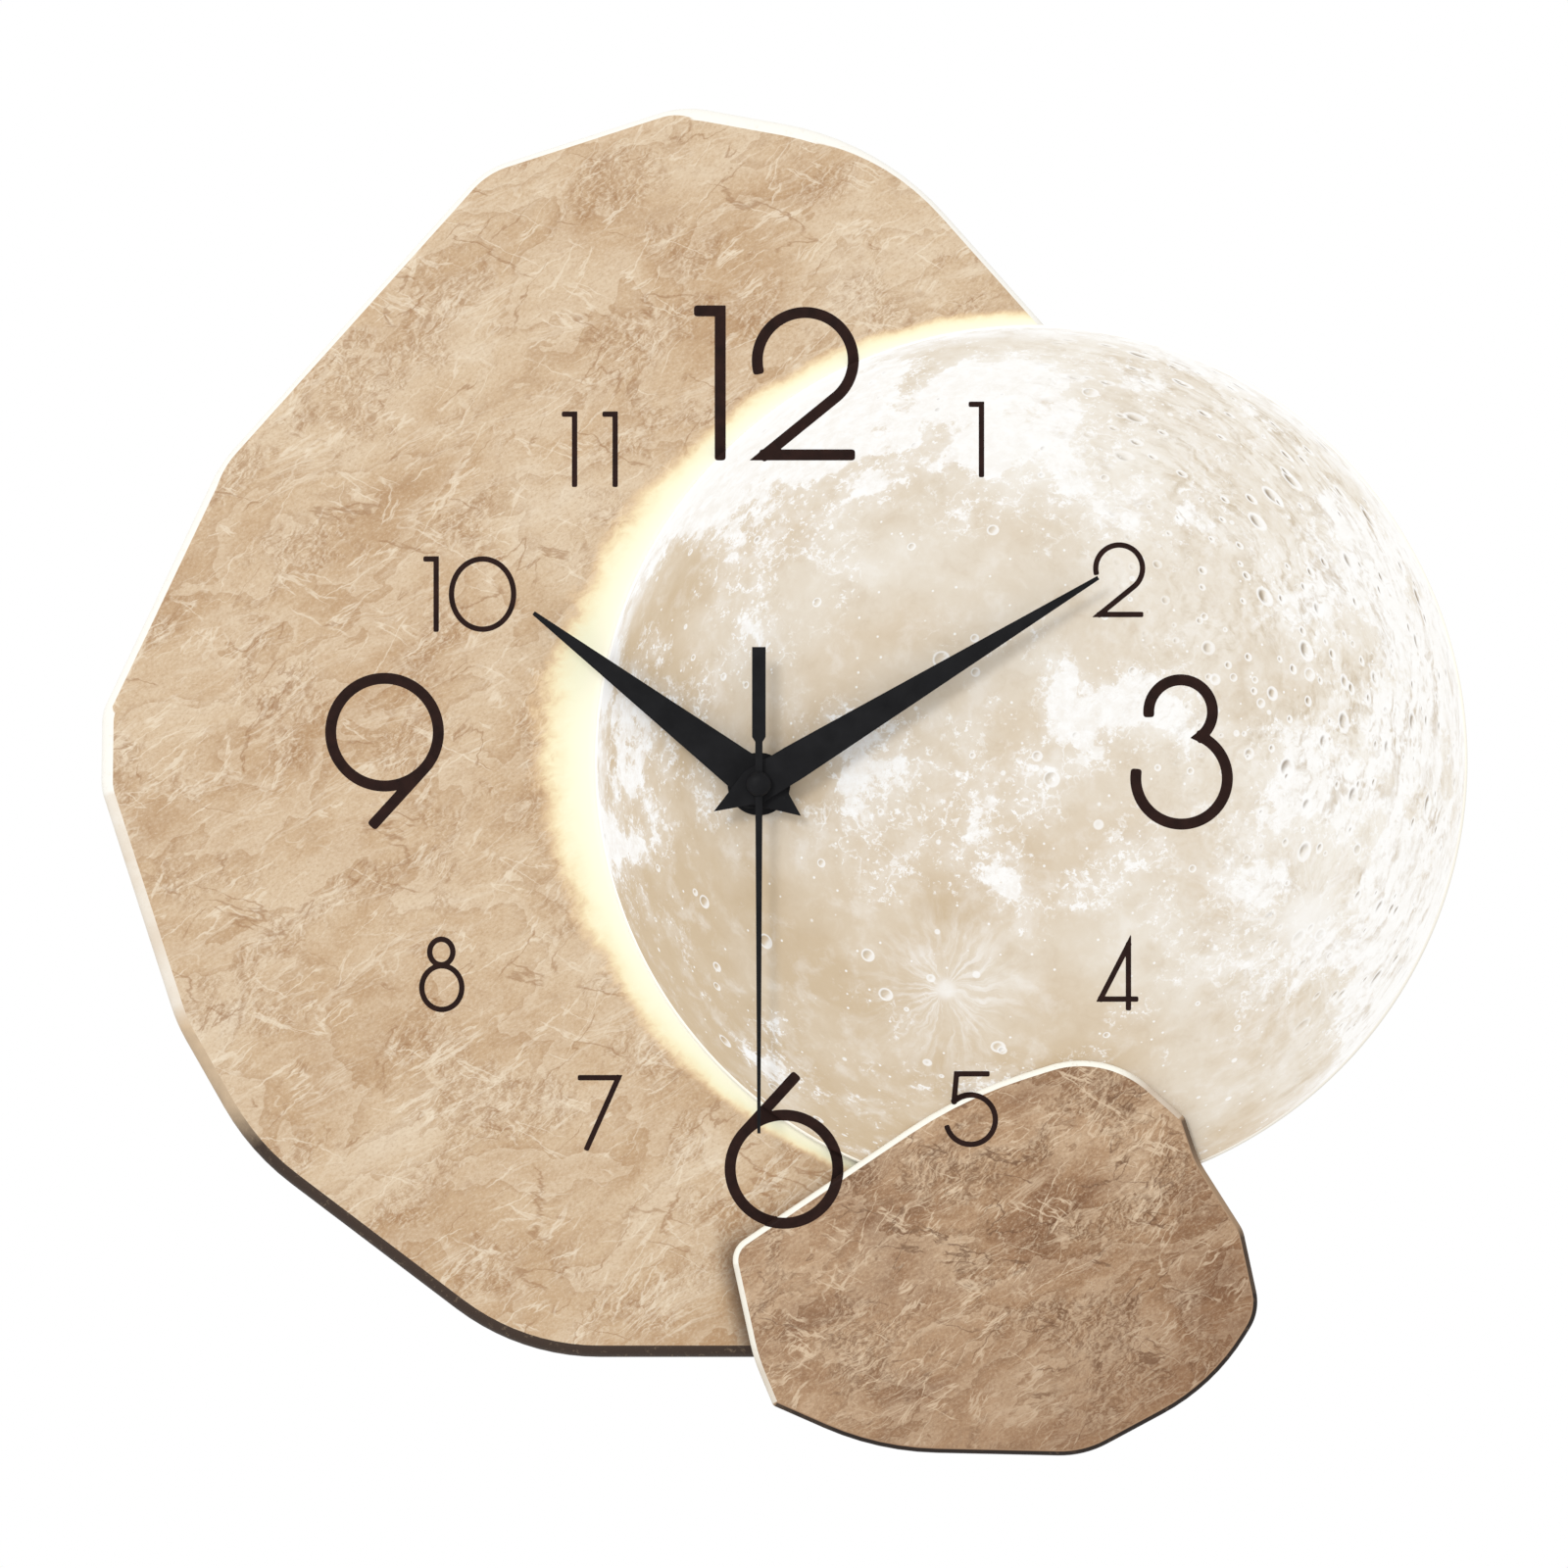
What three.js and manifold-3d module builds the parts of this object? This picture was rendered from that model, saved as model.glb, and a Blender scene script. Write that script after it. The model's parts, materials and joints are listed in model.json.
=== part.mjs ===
// Wooden wall clock: three printed boards in steps, three hands and a quartz movement.
// Millimetres. The viewer stands at -Y, the wall is at +Y, +X is right and +Z is up.
// The origin lies on the axis of the hands, in the plane of the wall.
//
// Pieces are drawn looking at the dial: x right, y up, z out of the wall. The finished
// group is turned so that z points to the viewer.

import * as THREE from 'three';
import { mergeVertices } from 'three/addons/utils/BufferGeometryUtils.js';
import Module from 'manifold-3d';

const wasm = await Module();
wasm.setup();

// Boards. Each corner of a stone is [x, y, corner radius], from the axis of the hands.
const baseStoneCorners = [
  [-16.7, 149.0, 21.5],
  [26.6, 141.2, 62],
  [89.4, 70.8, 40],
  [102.4, 21.5, 80],
  [99.1, -38.7, 80],
  [87.3, -92.5, 60],
  [72.2, -125.9, 15],
  [-52.5, -125.9, 52],
  [-111.9, -80.9, 55],
  [-127.9, -52.7, 40],
  [-144.5, -1.1, 12],
  [-144.3, 15.7, 10],
  [-118.4, 70.2, 30],
  [-60.2, 135.0, 18],
];
const frontStoneCorners = [
  [-6.4, -102.0, 5.5],
  [44.4, -67.8, 100],
  [76.2, -57.8, 23],
  [93.3, -73.0, 3],
  [96.5, -82.6, 20],
  [106.2, -97.9, 8],
  [110.0, -115.6, 11],
  [99.8, -132.1, 48],
  [71.3, -147.4, 22],
  [26.1, -146.4, 65],
  [3.1, -136.3, 1.5],
  [-1.2, -125.9, 40],
];
const moonRadius = 95.8;
const moonX = 59.7;
const moonY = 4.95;
const baseStoneThickness = 5;
const moonThickness = 3;
const frontStoneThickness = 3;
const baseStoneRounding = 2.6;
const moonRounding = 0.6;
const frontStoneRounding = 1.2;
const packingBlockLeft = 6;
const packingBlockRight = 64;
const packingBlockMargin = 3;
const packingBlockCornerRadius = 3;
const glueLine = 0.1;

// Hands: angles are clockwise from twelve, lengths run from the axis to the tip.
const hourAngle = 307.2;
const hourLength = 62;
const hourTailLength = 11.6;
const hourHalfWidth = 4.5;
const minuteAngle = 58.7;
const minuteLength = 87;
const minuteTailLength = 11.6;
const minuteHalfWidth = 3.9;
const handTipHalfWidth = 0.45;
const rearShoulder = 1.5;
const hourFrontShoulder = 4.3;
const minuteFrontShoulder = 9;
const handThickness = 0.4;
const secondAngle = 180;
const secondLength = 76.5;
const secondTailLength = 30;
const secondTailHalfWidth = 1.5;
const secondNeckLength = 9.2;
const secondNeckHalfWidth = 0.8;
const secondTipHalfWidth = 0.35;
const secondShoulderLength = 1.1;
const secondDomeRadius = 2.7;
const secondDomeHeight = 1.4;
const handSpacing = 1.6;
const colletWall = 0.5;
const colletFlangeWidth = 1.2;
const colletFlangeThickness = 0.6;

// Tubes on the hand axis, from the inside outwards
const secondArborRadius = 0.6;
const cannonWall = 0.8;
const hourTubeWall = 0.7;
const bushWall = 1.15;
const tubeClearance = 0.2;
const tubeEndLength = 0.5;

// Clamp stack in front of and behind the boards
const hangerThickness = 1.2;
const gasketThickness = 0.8;
const gasketRadius = 7;
const washerThickness = 0.6;
const washerRadius = 6.9;
const nutThickness = 2.4;
const nutCornerRadius = 6.2;
const bushBeyondNut = 0.7;
const bushFlangeRadius = 5.5;
const bushFlangeThickness = 1;
const boreClearance = 0.3;
const seatGap = 0.1;

// Hanger: a strip bent back to the wall, with an eye for the nail
const hangerHalfWidth = 9;
const hangerEyeRadius = 3.5;
const hangerEyeMargin = 3;
const hangerTail = 8;
const hangerWallGap = 1;

// Movement case
const caseWall = 1.4;
const caseFloorThickness = 1.5;
const coverThickness = 1.8;
const caseCornerRadius = 2;
const dividerThickness = 0.8;
const roomClearance = 0.8;
const coverLugLength = 8;
const coverLugThickness = 0.8;
const coverLugDepth = 2.5;

// Battery and its contacts
const batteryDiameter = 14;
const batteryLength = 49.5;
const batteryNubLength = 1;
const batteryNubRadius = 2.75;
const batteryRearGap = 0.4;
const batteryClearance = 0.35;
const contactThickness = 0.4;
const contactGap = 0.3;
const contactHeight = 3;

// Gear train: teeth of each wheel and pinion
const rotorPinionTeeth = 8;
const intermediateWheelTeeth = 40;
const intermediatePinionTeeth = 10;
const secondWheelTeeth = 60;
const secondPinionTeeth = 8;
const thirdWheelTeeth = 60;
const thirdPinionTeeth = 8;
const centreWheelTeeth = 64;
const cannonPinionTeeth = 12;
const minuteWheelTeeth = 36;
const minutePinionTeeth = 10;
const hourWheelTeeth = 40;
const knobPinionTeeth = 12;

// Gear train: distances between axes and the directions in which they lie
const trainDistance = 9.8;
const motionDistance = 8.4;
const rotorDistance = 6.6;
const thirdDirection = 160;
const intermediateDirection = 55;
const rotorDirection = 10;
const minuteWheelDirection = 0;
const knobDirection = -20;
const wheelThickness = 0.8;
const layerGap = 1;
const pinionOverlap = 0.3;
const axleRadius = 0.5;
const pivotDepth = 0.7;
const pivotClearance = 0.2;
const knobRadius = 5.5;
const knobThickness = 2.2;
const knobRecess = 0.4;
const knobGripTeeth = 24;
const knobGripDepth = 0.4;
const knobShaftRadius = 1.2;
const minutePostRadius = 0.8;

// Tooth form, in modules and in shares of one tooth pitch
const toothTop = 0.75;
const toothRoot = 1.15;
const rootShare = 0.2;
const tipShare = 0.08;

// Stepping motor and circuit board
const rotorMagnetRadius = 2.6;
const rotorMagnetLength = 3;
const statorThickness = 1;
const statorBoreGap = 0.4;
const statorLimbWidth = 3.2;
const coilCoreWidth = 3;
const coilCoreThickness = 1;
const coilLength = 20;
const coilRadius = 3.8;
const bobbinWall = 0.5;
const bobbinFlangeThickness = 1;
const bobbinFlangeHalfWidth = 4.1;
const motorPostRadius = 1.5;
const motorPinRadius = 0.7;
const boardThickness = 0.8;
const boardLength = 33;
const chipRadius = 2.3;
const chipHeight = 1.1;
const crystalRadius = 1;
const crystalLength = 6;
const fitGap = 0.3;

// Facets
const arcStepDegrees = 4;
const roundingSteps = 2;
const domeSteps = 4;
const moonSegments = 96;
const boreSegments = 24;
const axleSegments = 12;

// How far a cutting tool reaches past the faces that it opens
const overshoot = 1;

const degrees = THREE.MathUtils.degToRad;

// Solid helpers

function toSolid(geometry) {
  const bare = geometry.clone();
  bare.deleteAttribute('normal');
  bare.deleteAttribute('uv');
  const merged = mergeVertices(bare, 1e-5);
  const vertProperties = Float32Array.from(merged.attributes.position.array);
  const triVerts = Uint32Array.from(merged.index.array);
  return new wasm.Manifold(new wasm.Mesh({ numProp: 3, vertProperties, triVerts }));
}

function toGeometry(solid) {
  const mesh = solid.getMesh();
  const geometry = new THREE.BufferGeometry();
  geometry.setAttribute('position', new THREE.BufferAttribute(mesh.vertProperties, 3));
  geometry.setIndex(new THREE.BufferAttribute(mesh.triVerts, 1));
  return geometry;
}

function join(...geometries) {
  const solids = geometries.map(toSolid);
  return toGeometry(solids.reduce((whole, solid) => whole.add(solid)));
}

function cut(geometry, ...tools) {
  const solids = tools.map(toSolid);
  return toGeometry(solids.reduce((rest, tool) => rest.subtract(tool), toSolid(geometry)));
}

function plate(shape, bottom, top) {
  const geometry = new THREE.ExtrudeGeometry(shape, {
    depth: top - bottom,
    bevelEnabled: false,
  });
  return geometry.translate(0, 0, bottom);
}

function box(left, right, low, high, bottom, top) {
  const geometry = new THREE.BoxGeometry(right - left, high - low, top - bottom);
  return geometry.translate((left + right) / 2, (low + high) / 2, (bottom + top) / 2);
}

function disc(radius, bottom, top, x = 0, y = 0, segments = boreSegments) {
  const geometry = new THREE.CylinderGeometry(radius, radius, top - bottom, segments);
  geometry.rotateX(Math.PI / 2);
  return geometry.translate(x, y, (bottom + top) / 2);
}

// Profile points are [radius, z], listed from the front of the piece to its back.
function turned(profile) {
  const points = profile.map(([radius, z]) => new THREE.Vector2(radius, -z));
  const geometry = new THREE.LatheGeometry(points, boreSegments);
  return geometry.rotateX(-Math.PI / 2);
}

function ring(outerRadius, innerRadius, bottom, top) {
  return turned([
    [innerRadius, top],
    [outerRadius, top],
    [outerRadius, bottom],
    [innerRadius, bottom],
    [innerRadius, top],
  ]);
}

// The upper part of a dome's profile, from its crown to its rim
function domeProfile(radius, rim, crown) {
  const points = [];
  for (let step = 0; step <= domeSteps; step += 1) {
    const angle = (step / domeSteps) * (Math.PI / 2);
    points.push([radius * Math.sin(angle), rim + (crown - rim) * Math.cos(angle)]);
  }
  return points;
}

// Stacks outlines with equal counts of points into one closed body, from the back to the front.
function stacked(layers) {
  const count = layers[0].points.length;
  const positions = [];
  for (const layer of layers) {
    for (const point of layer.points) {
      positions.push(point.x, point.y, layer.z);
    }
  }
  const index = [];
  for (let layer = 0; layer + 1 < layers.length; layer += 1) {
    for (let side = 0; side < count; side += 1) {
      const next = (side + 1) % count;
      const low = layer * count;
      const high = low + count;
      index.push(low + side, low + next, high + next);
      index.push(low + side, high + next, high + side);
    }
  }
  const front = (layers.length - 1) * count;
  const backTriangles = THREE.ShapeUtils.triangulateShape(layers[0].points, []);
  const frontTriangles = THREE.ShapeUtils.triangulateShape(layers[layers.length - 1].points, []);
  backTriangles.forEach(([a, b, c]) => index.push(a, c, b));
  frontTriangles.forEach(([a, b, c]) => index.push(front + a, front + b, front + c));
  const geometry = new THREE.BufferGeometry();
  geometry.setAttribute('position', new THREE.Float32BufferAttribute(positions, 3));
  geometry.setIndex(index);
  return geometry;
}

// Boards

// Outline through rounded corners, drawn in by an inset. Corners run clockwise and the
// points come back counter-clockwise.
function roundedOutline(corners, inset) {
  const points = [];
  const count = corners.length;
  corners.forEach(([x, y, radius], index) => {
    const corner = new THREE.Vector2(x, y);
    const [beforeX, beforeY] = corners[(index + count - 1) % count];
    const [afterX, afterY] = corners[(index + 1) % count];
    const arriving = corner.clone().sub(new THREE.Vector2(beforeX, beforeY)).normalize();
    const leaving = new THREE.Vector2(afterX, afterY).sub(corner).normalize();
    const turn = Math.atan2(arriving.cross(leaving), arriving.dot(leaving));
    const outward = turn < 0 ? 1 : -1;
    const tangent = radius * Math.tan(Math.abs(turn) / 2);
    const start = corner.clone().addScaledVector(arriving, -tangent);
    const spoke = new THREE.Vector2(-arriving.y, arriving.x).multiplyScalar(outward);
    const centre = start.addScaledVector(spoke, -radius);
    const reach = radius - outward * inset;
    const steps = Math.max(2, Math.ceil(Math.abs(turn) / degrees(arcStepDegrees)));
    for (let step = 0; step <= steps; step += 1) {
      const swept = spoke.clone().rotateAround(new THREE.Vector2(), (turn * step) / steps);
      points.push(centre.clone().addScaledVector(swept, reach));
    }
  });
  return points.reverse();
}

function circleOutline(x, y, radius) {
  const points = [];
  for (let side = 0; side < moonSegments; side += 1) {
    const angle = (side / moonSegments) * Math.PI * 2;
    points.push(new THREE.Vector2(x + radius * Math.cos(angle), y + radius * Math.sin(angle)));
  }
  return points;
}

// A board with a square back edge and a rounded front edge
function board(outlineAt, back, thickness, rounding) {
  const front = back + thickness;
  const layers = [{ points: outlineAt(0), z: back }];
  for (let step = 0; step <= roundingSteps; step += 1) {
    const angle = (step / roundingSteps) * (Math.PI / 2);
    const inset = rounding * (1 - Math.cos(angle));
    layers.push({ points: outlineAt(inset), z: front - rounding * (1 - Math.sin(angle)) });
  }
  return stacked(layers);
}

// Gears

const toothModule = (distance, teeth, matingTeeth) => (2 * distance) / (teeth + matingTeeth);
const tipRadius = (module, teeth) => module * (teeth / 2 + toothTop);

// Turns the second gear so that its gap stands where a tooth of the first gear reaches it.
function meshingPhase(teeth, phase, matingTeeth, direction) {
  const offset = phase - degrees(direction);
  return degrees(direction) + Math.PI - (offset * teeth) / matingTeeth + Math.PI / matingTeeth;
}

function gear(teeth, module, phase, bottom, top, x, y) {
  const rootRadius = module * (teeth / 2 - toothRoot);
  const pitch = (Math.PI * 2) / teeth;
  const flank = [
    [rootRadius, -rootShare],
    [tipRadius(module, teeth), -tipShare],
    [tipRadius(module, teeth), tipShare],
    [rootRadius, rootShare],
  ];
  const points = [];
  for (let tooth = 0; tooth < teeth; tooth += 1) {
    for (const [radius, share] of flank) {
      const angle = phase + (tooth + share) * pitch;
      points.push(new THREE.Vector2(radius * Math.cos(angle), radius * Math.sin(angle)));
    }
  }
  return plate(new THREE.Shape(points), bottom, top).translate(x, y, 0);
}

function polar(distance, direction, from = { x: 0, y: 0 }) {
  return {
    x: from.x + distance * Math.cos(degrees(direction)),
    y: from.y + distance * Math.sin(degrees(direction)),
  };
}

// Levels of the wheels, from the back cover to the dial
const level = {};
level.intermediate = coverThickness + layerGap;
level.second = level.intermediate + wheelThickness + layerGap;
level.third = level.second + wheelThickness + layerGap;
level.centre = level.third + wheelThickness + layerGap;
level.minute = level.centre + wheelThickness + layerGap;
level.hour = level.minute + wheelThickness + layerGap;
level.bushFlange = level.hour + wheelThickness + layerGap;
level.floor = Math.max(
  level.bushFlange + bushFlangeThickness + seatGap,
  batteryRearGap + batteryDiameter + batteryClearance,
);
level.caseFront = level.floor + caseFloorThickness;
level.hanger = level.caseFront + seatGap;
level.gasket = level.hanger + hangerThickness + seatGap;
level.baseBack = level.gasket + gasketThickness + seatGap;
level.baseFront = level.baseBack + baseStoneThickness;
level.moonBack = level.baseFront + glueLine;
level.moonFront = level.moonBack + moonThickness;
level.stoneBack = level.moonFront + glueLine;
level.stoneFront = level.stoneBack + frontStoneThickness;
level.washer = level.moonFront + seatGap;
level.nut = level.washer + washerThickness + seatGap;
level.bushFront = level.nut + nutThickness + bushBeyondNut;
level.hourCollet = level.bushFront + fitGap;
level.hourHand = level.hourCollet + colletFlangeThickness + seatGap;
level.hourTubeFront = level.hourHand + handThickness + tubeEndLength;
level.minuteCollet = level.hourTubeFront + fitGap;
level.minuteHand = Math.max(
  level.minuteCollet + colletFlangeThickness + seatGap,
  level.hourHand + handThickness + handSpacing,
  level.stoneFront + handSpacing,
);
level.cannonFront = level.minuteHand + handThickness + tubeEndLength;
level.secondHand = level.minuteHand + handThickness + handSpacing;
level.arborFront = level.secondHand + handThickness + tubeEndLength;

// Radii of the nested tubes
const cannonBore = secondArborRadius + tubeClearance;
const cannonRadius = cannonBore + cannonWall;
const hourBore = cannonRadius + tubeClearance;
const hourTubeRadius = hourBore + hourTubeWall;
const bushBore = hourTubeRadius + tubeClearance;
const bushRadius = bushBore + bushWall;
const boardBore = bushRadius + boreClearance;

// Axes of the wheels
const handAxis = { x: 0, y: 0 };
const thirdAxis = polar(trainDistance, thirdDirection);
const intermediateAxis = polar(trainDistance, intermediateDirection);
const rotorAxis = polar(rotorDistance, rotorDirection, intermediateAxis);
const minuteWheelAxis = polar(motionDistance, minuteWheelDirection);
const knobAxis = polar(motionDistance, knobDirection, minuteWheelAxis);

// Modules of the meshing pairs
const rotorModule = toothModule(rotorDistance, rotorPinionTeeth, intermediateWheelTeeth);
const secondModule = toothModule(trainDistance, intermediatePinionTeeth, secondWheelTeeth);
const thirdModule = toothModule(trainDistance, secondPinionTeeth, thirdWheelTeeth);
const centreModule = toothModule(trainDistance, thirdPinionTeeth, centreWheelTeeth);
const minuteModule = toothModule(motionDistance, cannonPinionTeeth, minuteWheelTeeth);
const hourModule = toothModule(motionDistance, minutePinionTeeth, hourWheelTeeth);
const knobModule = minuteModule;

// Room inside the movement case
const thirdTip = tipRadius(thirdModule, thirdWheelTeeth);
const centreTip = tipRadius(centreModule, centreWheelTeeth);
const secondTip = tipRadius(secondModule, secondWheelTeeth);
const stripTop = -(Math.max(centreTip, secondTip) + roomClearance);
const stripBottom = stripTop - contactThickness;
const dividerTop = stripBottom - contactGap;
const dividerBottom = dividerTop - dividerThickness;
const bayHeight = batteryDiameter + 2 * batteryClearance;
const bayBottom = dividerBottom - bayHeight;
const caseBottom = bayBottom - caseWall;
const batterySpan = batteryLength + batteryNubLength;
const roomHalfWidth = batterySpan / 2 + 2 * contactGap + contactThickness;
const caseHalfWidth = roomHalfWidth + caseWall;
const limbBottom = thirdAxis.y + thirdTip + roomClearance;
const limbTop = limbBottom + statorLimbWidth;
const coilY = limbTop + roomClearance + bobbinFlangeHalfWidth;
const roomTop = coilY + bobbinFlangeHalfWidth + coverLugThickness + 2 * fitGap;
const caseTop = roomTop + caseWall;

// Levels and ends of the stepping motor
const rotorPinionFront = level.intermediate + wheelThickness + pinionOverlap;
const rotorMagnetBack = rotorPinionFront + fitGap;
const statorBack = rotorMagnetBack + (rotorMagnetLength - statorThickness) / 2;
const statorFront = statorBack + statorThickness;
const coreBack = statorFront + seatGap;
const coreFront = coreBack + coilCoreThickness;
const coreMiddle = (coreBack + coreFront) / 2;
const statorBore = rotorMagnetRadius + statorBoreGap;
const intermediatePinionTip = tipRadius(secondModule, intermediatePinionTeeth);
const statorPoleRadius = rotorDistance - intermediatePinionTip - fitGap;
const statorRight = rotorAxis.x + statorPoleRadius + statorLimbWidth;
const coilRight = statorRight - statorLimbWidth - fitGap;
const coilLeft = coilRight - coilLength;
const statorLeft = coilLeft - fitGap - statorLimbWidth;
const motorPosts = [statorLeft, statorRight - statorLimbWidth].map((x) => x + statorLimbWidth / 2);

// Finishes

const finishes = {
  lightStone: { color: 0xd2b798, roughness: 0.55, metalness: 0 },
  moonPrint: { color: 0xe6dccb, roughness: 0.55, metalness: 0 },
  darkStone: { color: 0xae8e71, roughness: 0.55, metalness: 0 },
  bareBoard: { color: 0x9a7650, roughness: 0.85, metalness: 0 },
  blackMetal: { color: 0x242426, roughness: 0.5, metalness: 0.2 },
  brass: { color: 0xb08d4a, roughness: 0.35, metalness: 1 },
  steel: { color: 0xa9acb0, roughness: 0.35, metalness: 1 },
  rubber: { color: 0x191919, roughness: 0.9, metalness: 0 },
  blackPlastic: { color: 0x1c1c1d, roughness: 0.6, metalness: 0 },
  whitePlastic: { color: 0xe8e6df, roughness: 0.5, metalness: 0 },
  copper: { color: 0xa8582c, roughness: 0.4, metalness: 1 },
  greenBoard: { color: 0x2d5b38, roughness: 0.6, metalness: 0 },
  batterySleeve: { color: 0x5c6b73, roughness: 0.35, metalness: 0.3 },
};

const clock = new THREE.Group();

function add(name, finish, geometry) {
  const mesh = new THREE.Mesh(geometry, new THREE.MeshStandardMaterial(finishes[finish]));
  mesh.name = name;
  clock.add(mesh);
}

// Boards, glued face to face and clamped at the bush

function addBoards() {
  const bore = disc(boardBore, level.baseBack - overshoot, level.moonFront + overshoot);
  const baseStone = board(
    (inset) => roundedOutline(baseStoneCorners, inset),
    level.baseBack,
    baseStoneThickness,
    baseStoneRounding,
  );
  const moon = board(
    (inset) => circleOutline(moonX, moonY, moonRadius - inset),
    level.moonBack,
    moonThickness,
    moonRounding,
  );
  const frontStone = board(
    (inset) => roundedOutline(frontStoneCorners, inset),
    level.stoneBack,
    frontStoneThickness,
    frontStoneRounding,
  );
  add('base_stone_board', 'lightStone', cut(baseStone, bore));
  add('moon_board', 'moonPrint', cut(moon, bore));
  add('front_stone_board', 'darkStone', frontStone);
}

function addPackingBlock() {
  const baseBottom = Math.min(...baseStoneCorners.map(([, y]) => y));
  const top = moonY - moonRadius - packingBlockMargin;
  const bottom = baseBottom + baseStoneRounding + packingBlockMargin;
  const corners = [
    [packingBlockLeft, bottom, packingBlockCornerRadius],
    [packingBlockLeft, top, packingBlockCornerRadius],
    [packingBlockRight, top, packingBlockCornerRadius],
    [packingBlockRight, bottom, packingBlockCornerRadius],
  ];
  const shape = new THREE.Shape(roundedOutline(corners, 0));
  add('packing_block', 'bareBoard', plate(shape, level.moonBack, level.moonFront));
}

// Clamp stack and hanger

function addClampStack() {
  const hexagon = [];
  for (let corner = 0; corner < 6; corner += 1) {
    const angle = degrees(60 * corner);
    hexagon.push(new THREE.Vector2(Math.cos(angle), Math.sin(angle)).multiplyScalar(nutCornerRadius));
  }
  const nut = plate(new THREE.Shape(hexagon), level.nut, level.nut + nutThickness);
  const nutBore = disc(boardBore, level.nut - overshoot, level.nut + nutThickness + overshoot);
  add('hex_nut', 'blackMetal', cut(nut, nutBore));
  const washerFront = level.washer + washerThickness;
  add('nut_washer', 'blackMetal', ring(washerRadius, boardBore, level.washer, washerFront));
  const gasketFront = level.gasket + gasketThickness;
  add('rubber_gasket', 'rubber', ring(gasketRadius, boardBore, level.gasket, gasketFront));
  const bush = turned([
    [bushBore, level.bushFront],
    [bushRadius, level.bushFront],
    [bushRadius, level.bushFlange + bushFlangeThickness],
    [bushFlangeRadius, level.bushFlange + bushFlangeThickness],
    [bushFlangeRadius, level.bushFlange],
    [bushBore, level.bushFlange],
    [bushBore, level.bushFront],
  ]);
  add('threaded_bush', 'brass', bush);
}

// Bent strip: down the front of the case, back over its top edge and up along the wall
function addHanger() {
  const shelfBottom = caseTop + fitGap;
  const shelfTop = shelfBottom + hangerThickness;
  const eyeY = shelfTop + hangerEyeMargin + hangerEyeRadius;
  const eyeTop = eyeY + hangerEyeRadius + hangerEyeMargin;
  const eyeFront = hangerWallGap + hangerThickness;
  const stripFront = level.hanger + hangerThickness;
  const section = new THREE.Shape();
  section.moveTo(level.hanger, -hangerTail);
  section.lineTo(stripFront, -hangerTail);
  section.lineTo(stripFront, shelfTop);
  section.lineTo(eyeFront, shelfTop);
  section.lineTo(eyeFront, eyeTop);
  section.lineTo(hangerWallGap, eyeTop);
  section.lineTo(hangerWallGap, shelfBottom);
  section.lineTo(level.hanger, shelfBottom);
  section.closePath();
  const strip = plate(section, -hangerHalfWidth, hangerHalfWidth).rotateY(-Math.PI / 2);
  const nailHole = disc(hangerEyeRadius, hangerWallGap - overshoot, eyeFront + overshoot, 0, eyeY);
  const bushHole = disc(boardBore, level.hanger - overshoot, stripFront + overshoot);
  add('hanger_bracket', 'steel', cut(strip, nailHole, bushHole));
}

// Movement case: a deep tray with a battery bay, and a flat cover over the wheels

function roundedBox(low, high, back, front) {
  const corners = [
    [-caseHalfWidth, low, caseCornerRadius],
    [-caseHalfWidth, high, caseCornerRadius],
    [caseHalfWidth, high, caseCornerRadius],
    [caseHalfWidth, low, caseCornerRadius],
  ];
  return plate(new THREE.Shape(roundedOutline(corners, 0)), back, front);
}

function pivotHole(axis, back, front) {
  return disc(axleRadius + pivotClearance, back, front, axis.x, axis.y, axleSegments);
}

function addCase() {
  const body = roundedBox(caseBottom, caseTop, 0, level.caseFront);
  const opening = -overshoot;
  const wheelRoom = box(-roomHalfWidth, roomHalfWidth, dividerTop, roomTop, opening, level.floor);
  const bay = box(-roomHalfWidth, roomHalfWidth, bayBottom, dividerBottom, opening, level.floor);
  const coverSeat = coverThickness + seatGap;
  const coverRoom = box(
    -caseHalfWidth - overshoot,
    caseHalfWidth + overshoot,
    dividerBottom,
    caseTop + overshoot,
    opening,
    coverSeat,
  );
  const notchInside = roomHalfWidth - contactThickness - 2 * contactGap;
  const notchFront = coverSeat + boardThickness + contactHeight + 2 * contactGap;
  const contactNotches = [
    box(-roomHalfWidth, -notchInside, dividerBottom - overshoot, dividerTop + overshoot, 0, notchFront),
    box(notchInside, roomHalfWidth, dividerBottom - overshoot, dividerTop + overshoot, 0, notchFront),
  ];
  const bushHole = disc(boardBore, level.floor - overshoot, level.caseFront + overshoot);
  const floorPivots = [thirdAxis, intermediateAxis, rotorAxis, knobAxis].map((axis) =>
    pivotHole(axis, level.floor - overshoot, level.floor + pivotDepth + pivotClearance),
  );
  const tray = cut(body, wheelRoom, bay, coverRoom, ...contactNotches, bushHole, ...floorPivots);
  const postFront = level.floor + caseFloorThickness / 2;
  const minutePost = disc(
    minutePostRadius,
    level.minute - pinionOverlap,
    postFront,
    minuteWheelAxis.x,
    minuteWheelAxis.y,
    axleSegments,
  );
  const posts = motorPosts.flatMap((x) => [
    disc(motorPostRadius, coreFront + seatGap, postFront, x, coilY, axleSegments),
    disc(motorPinRadius, statorBack - fitGap, postFront, x, coilY, axleSegments),
  ]);
  add('movement_case', 'blackPlastic', join(tray, minutePost, ...posts));
}

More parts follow.
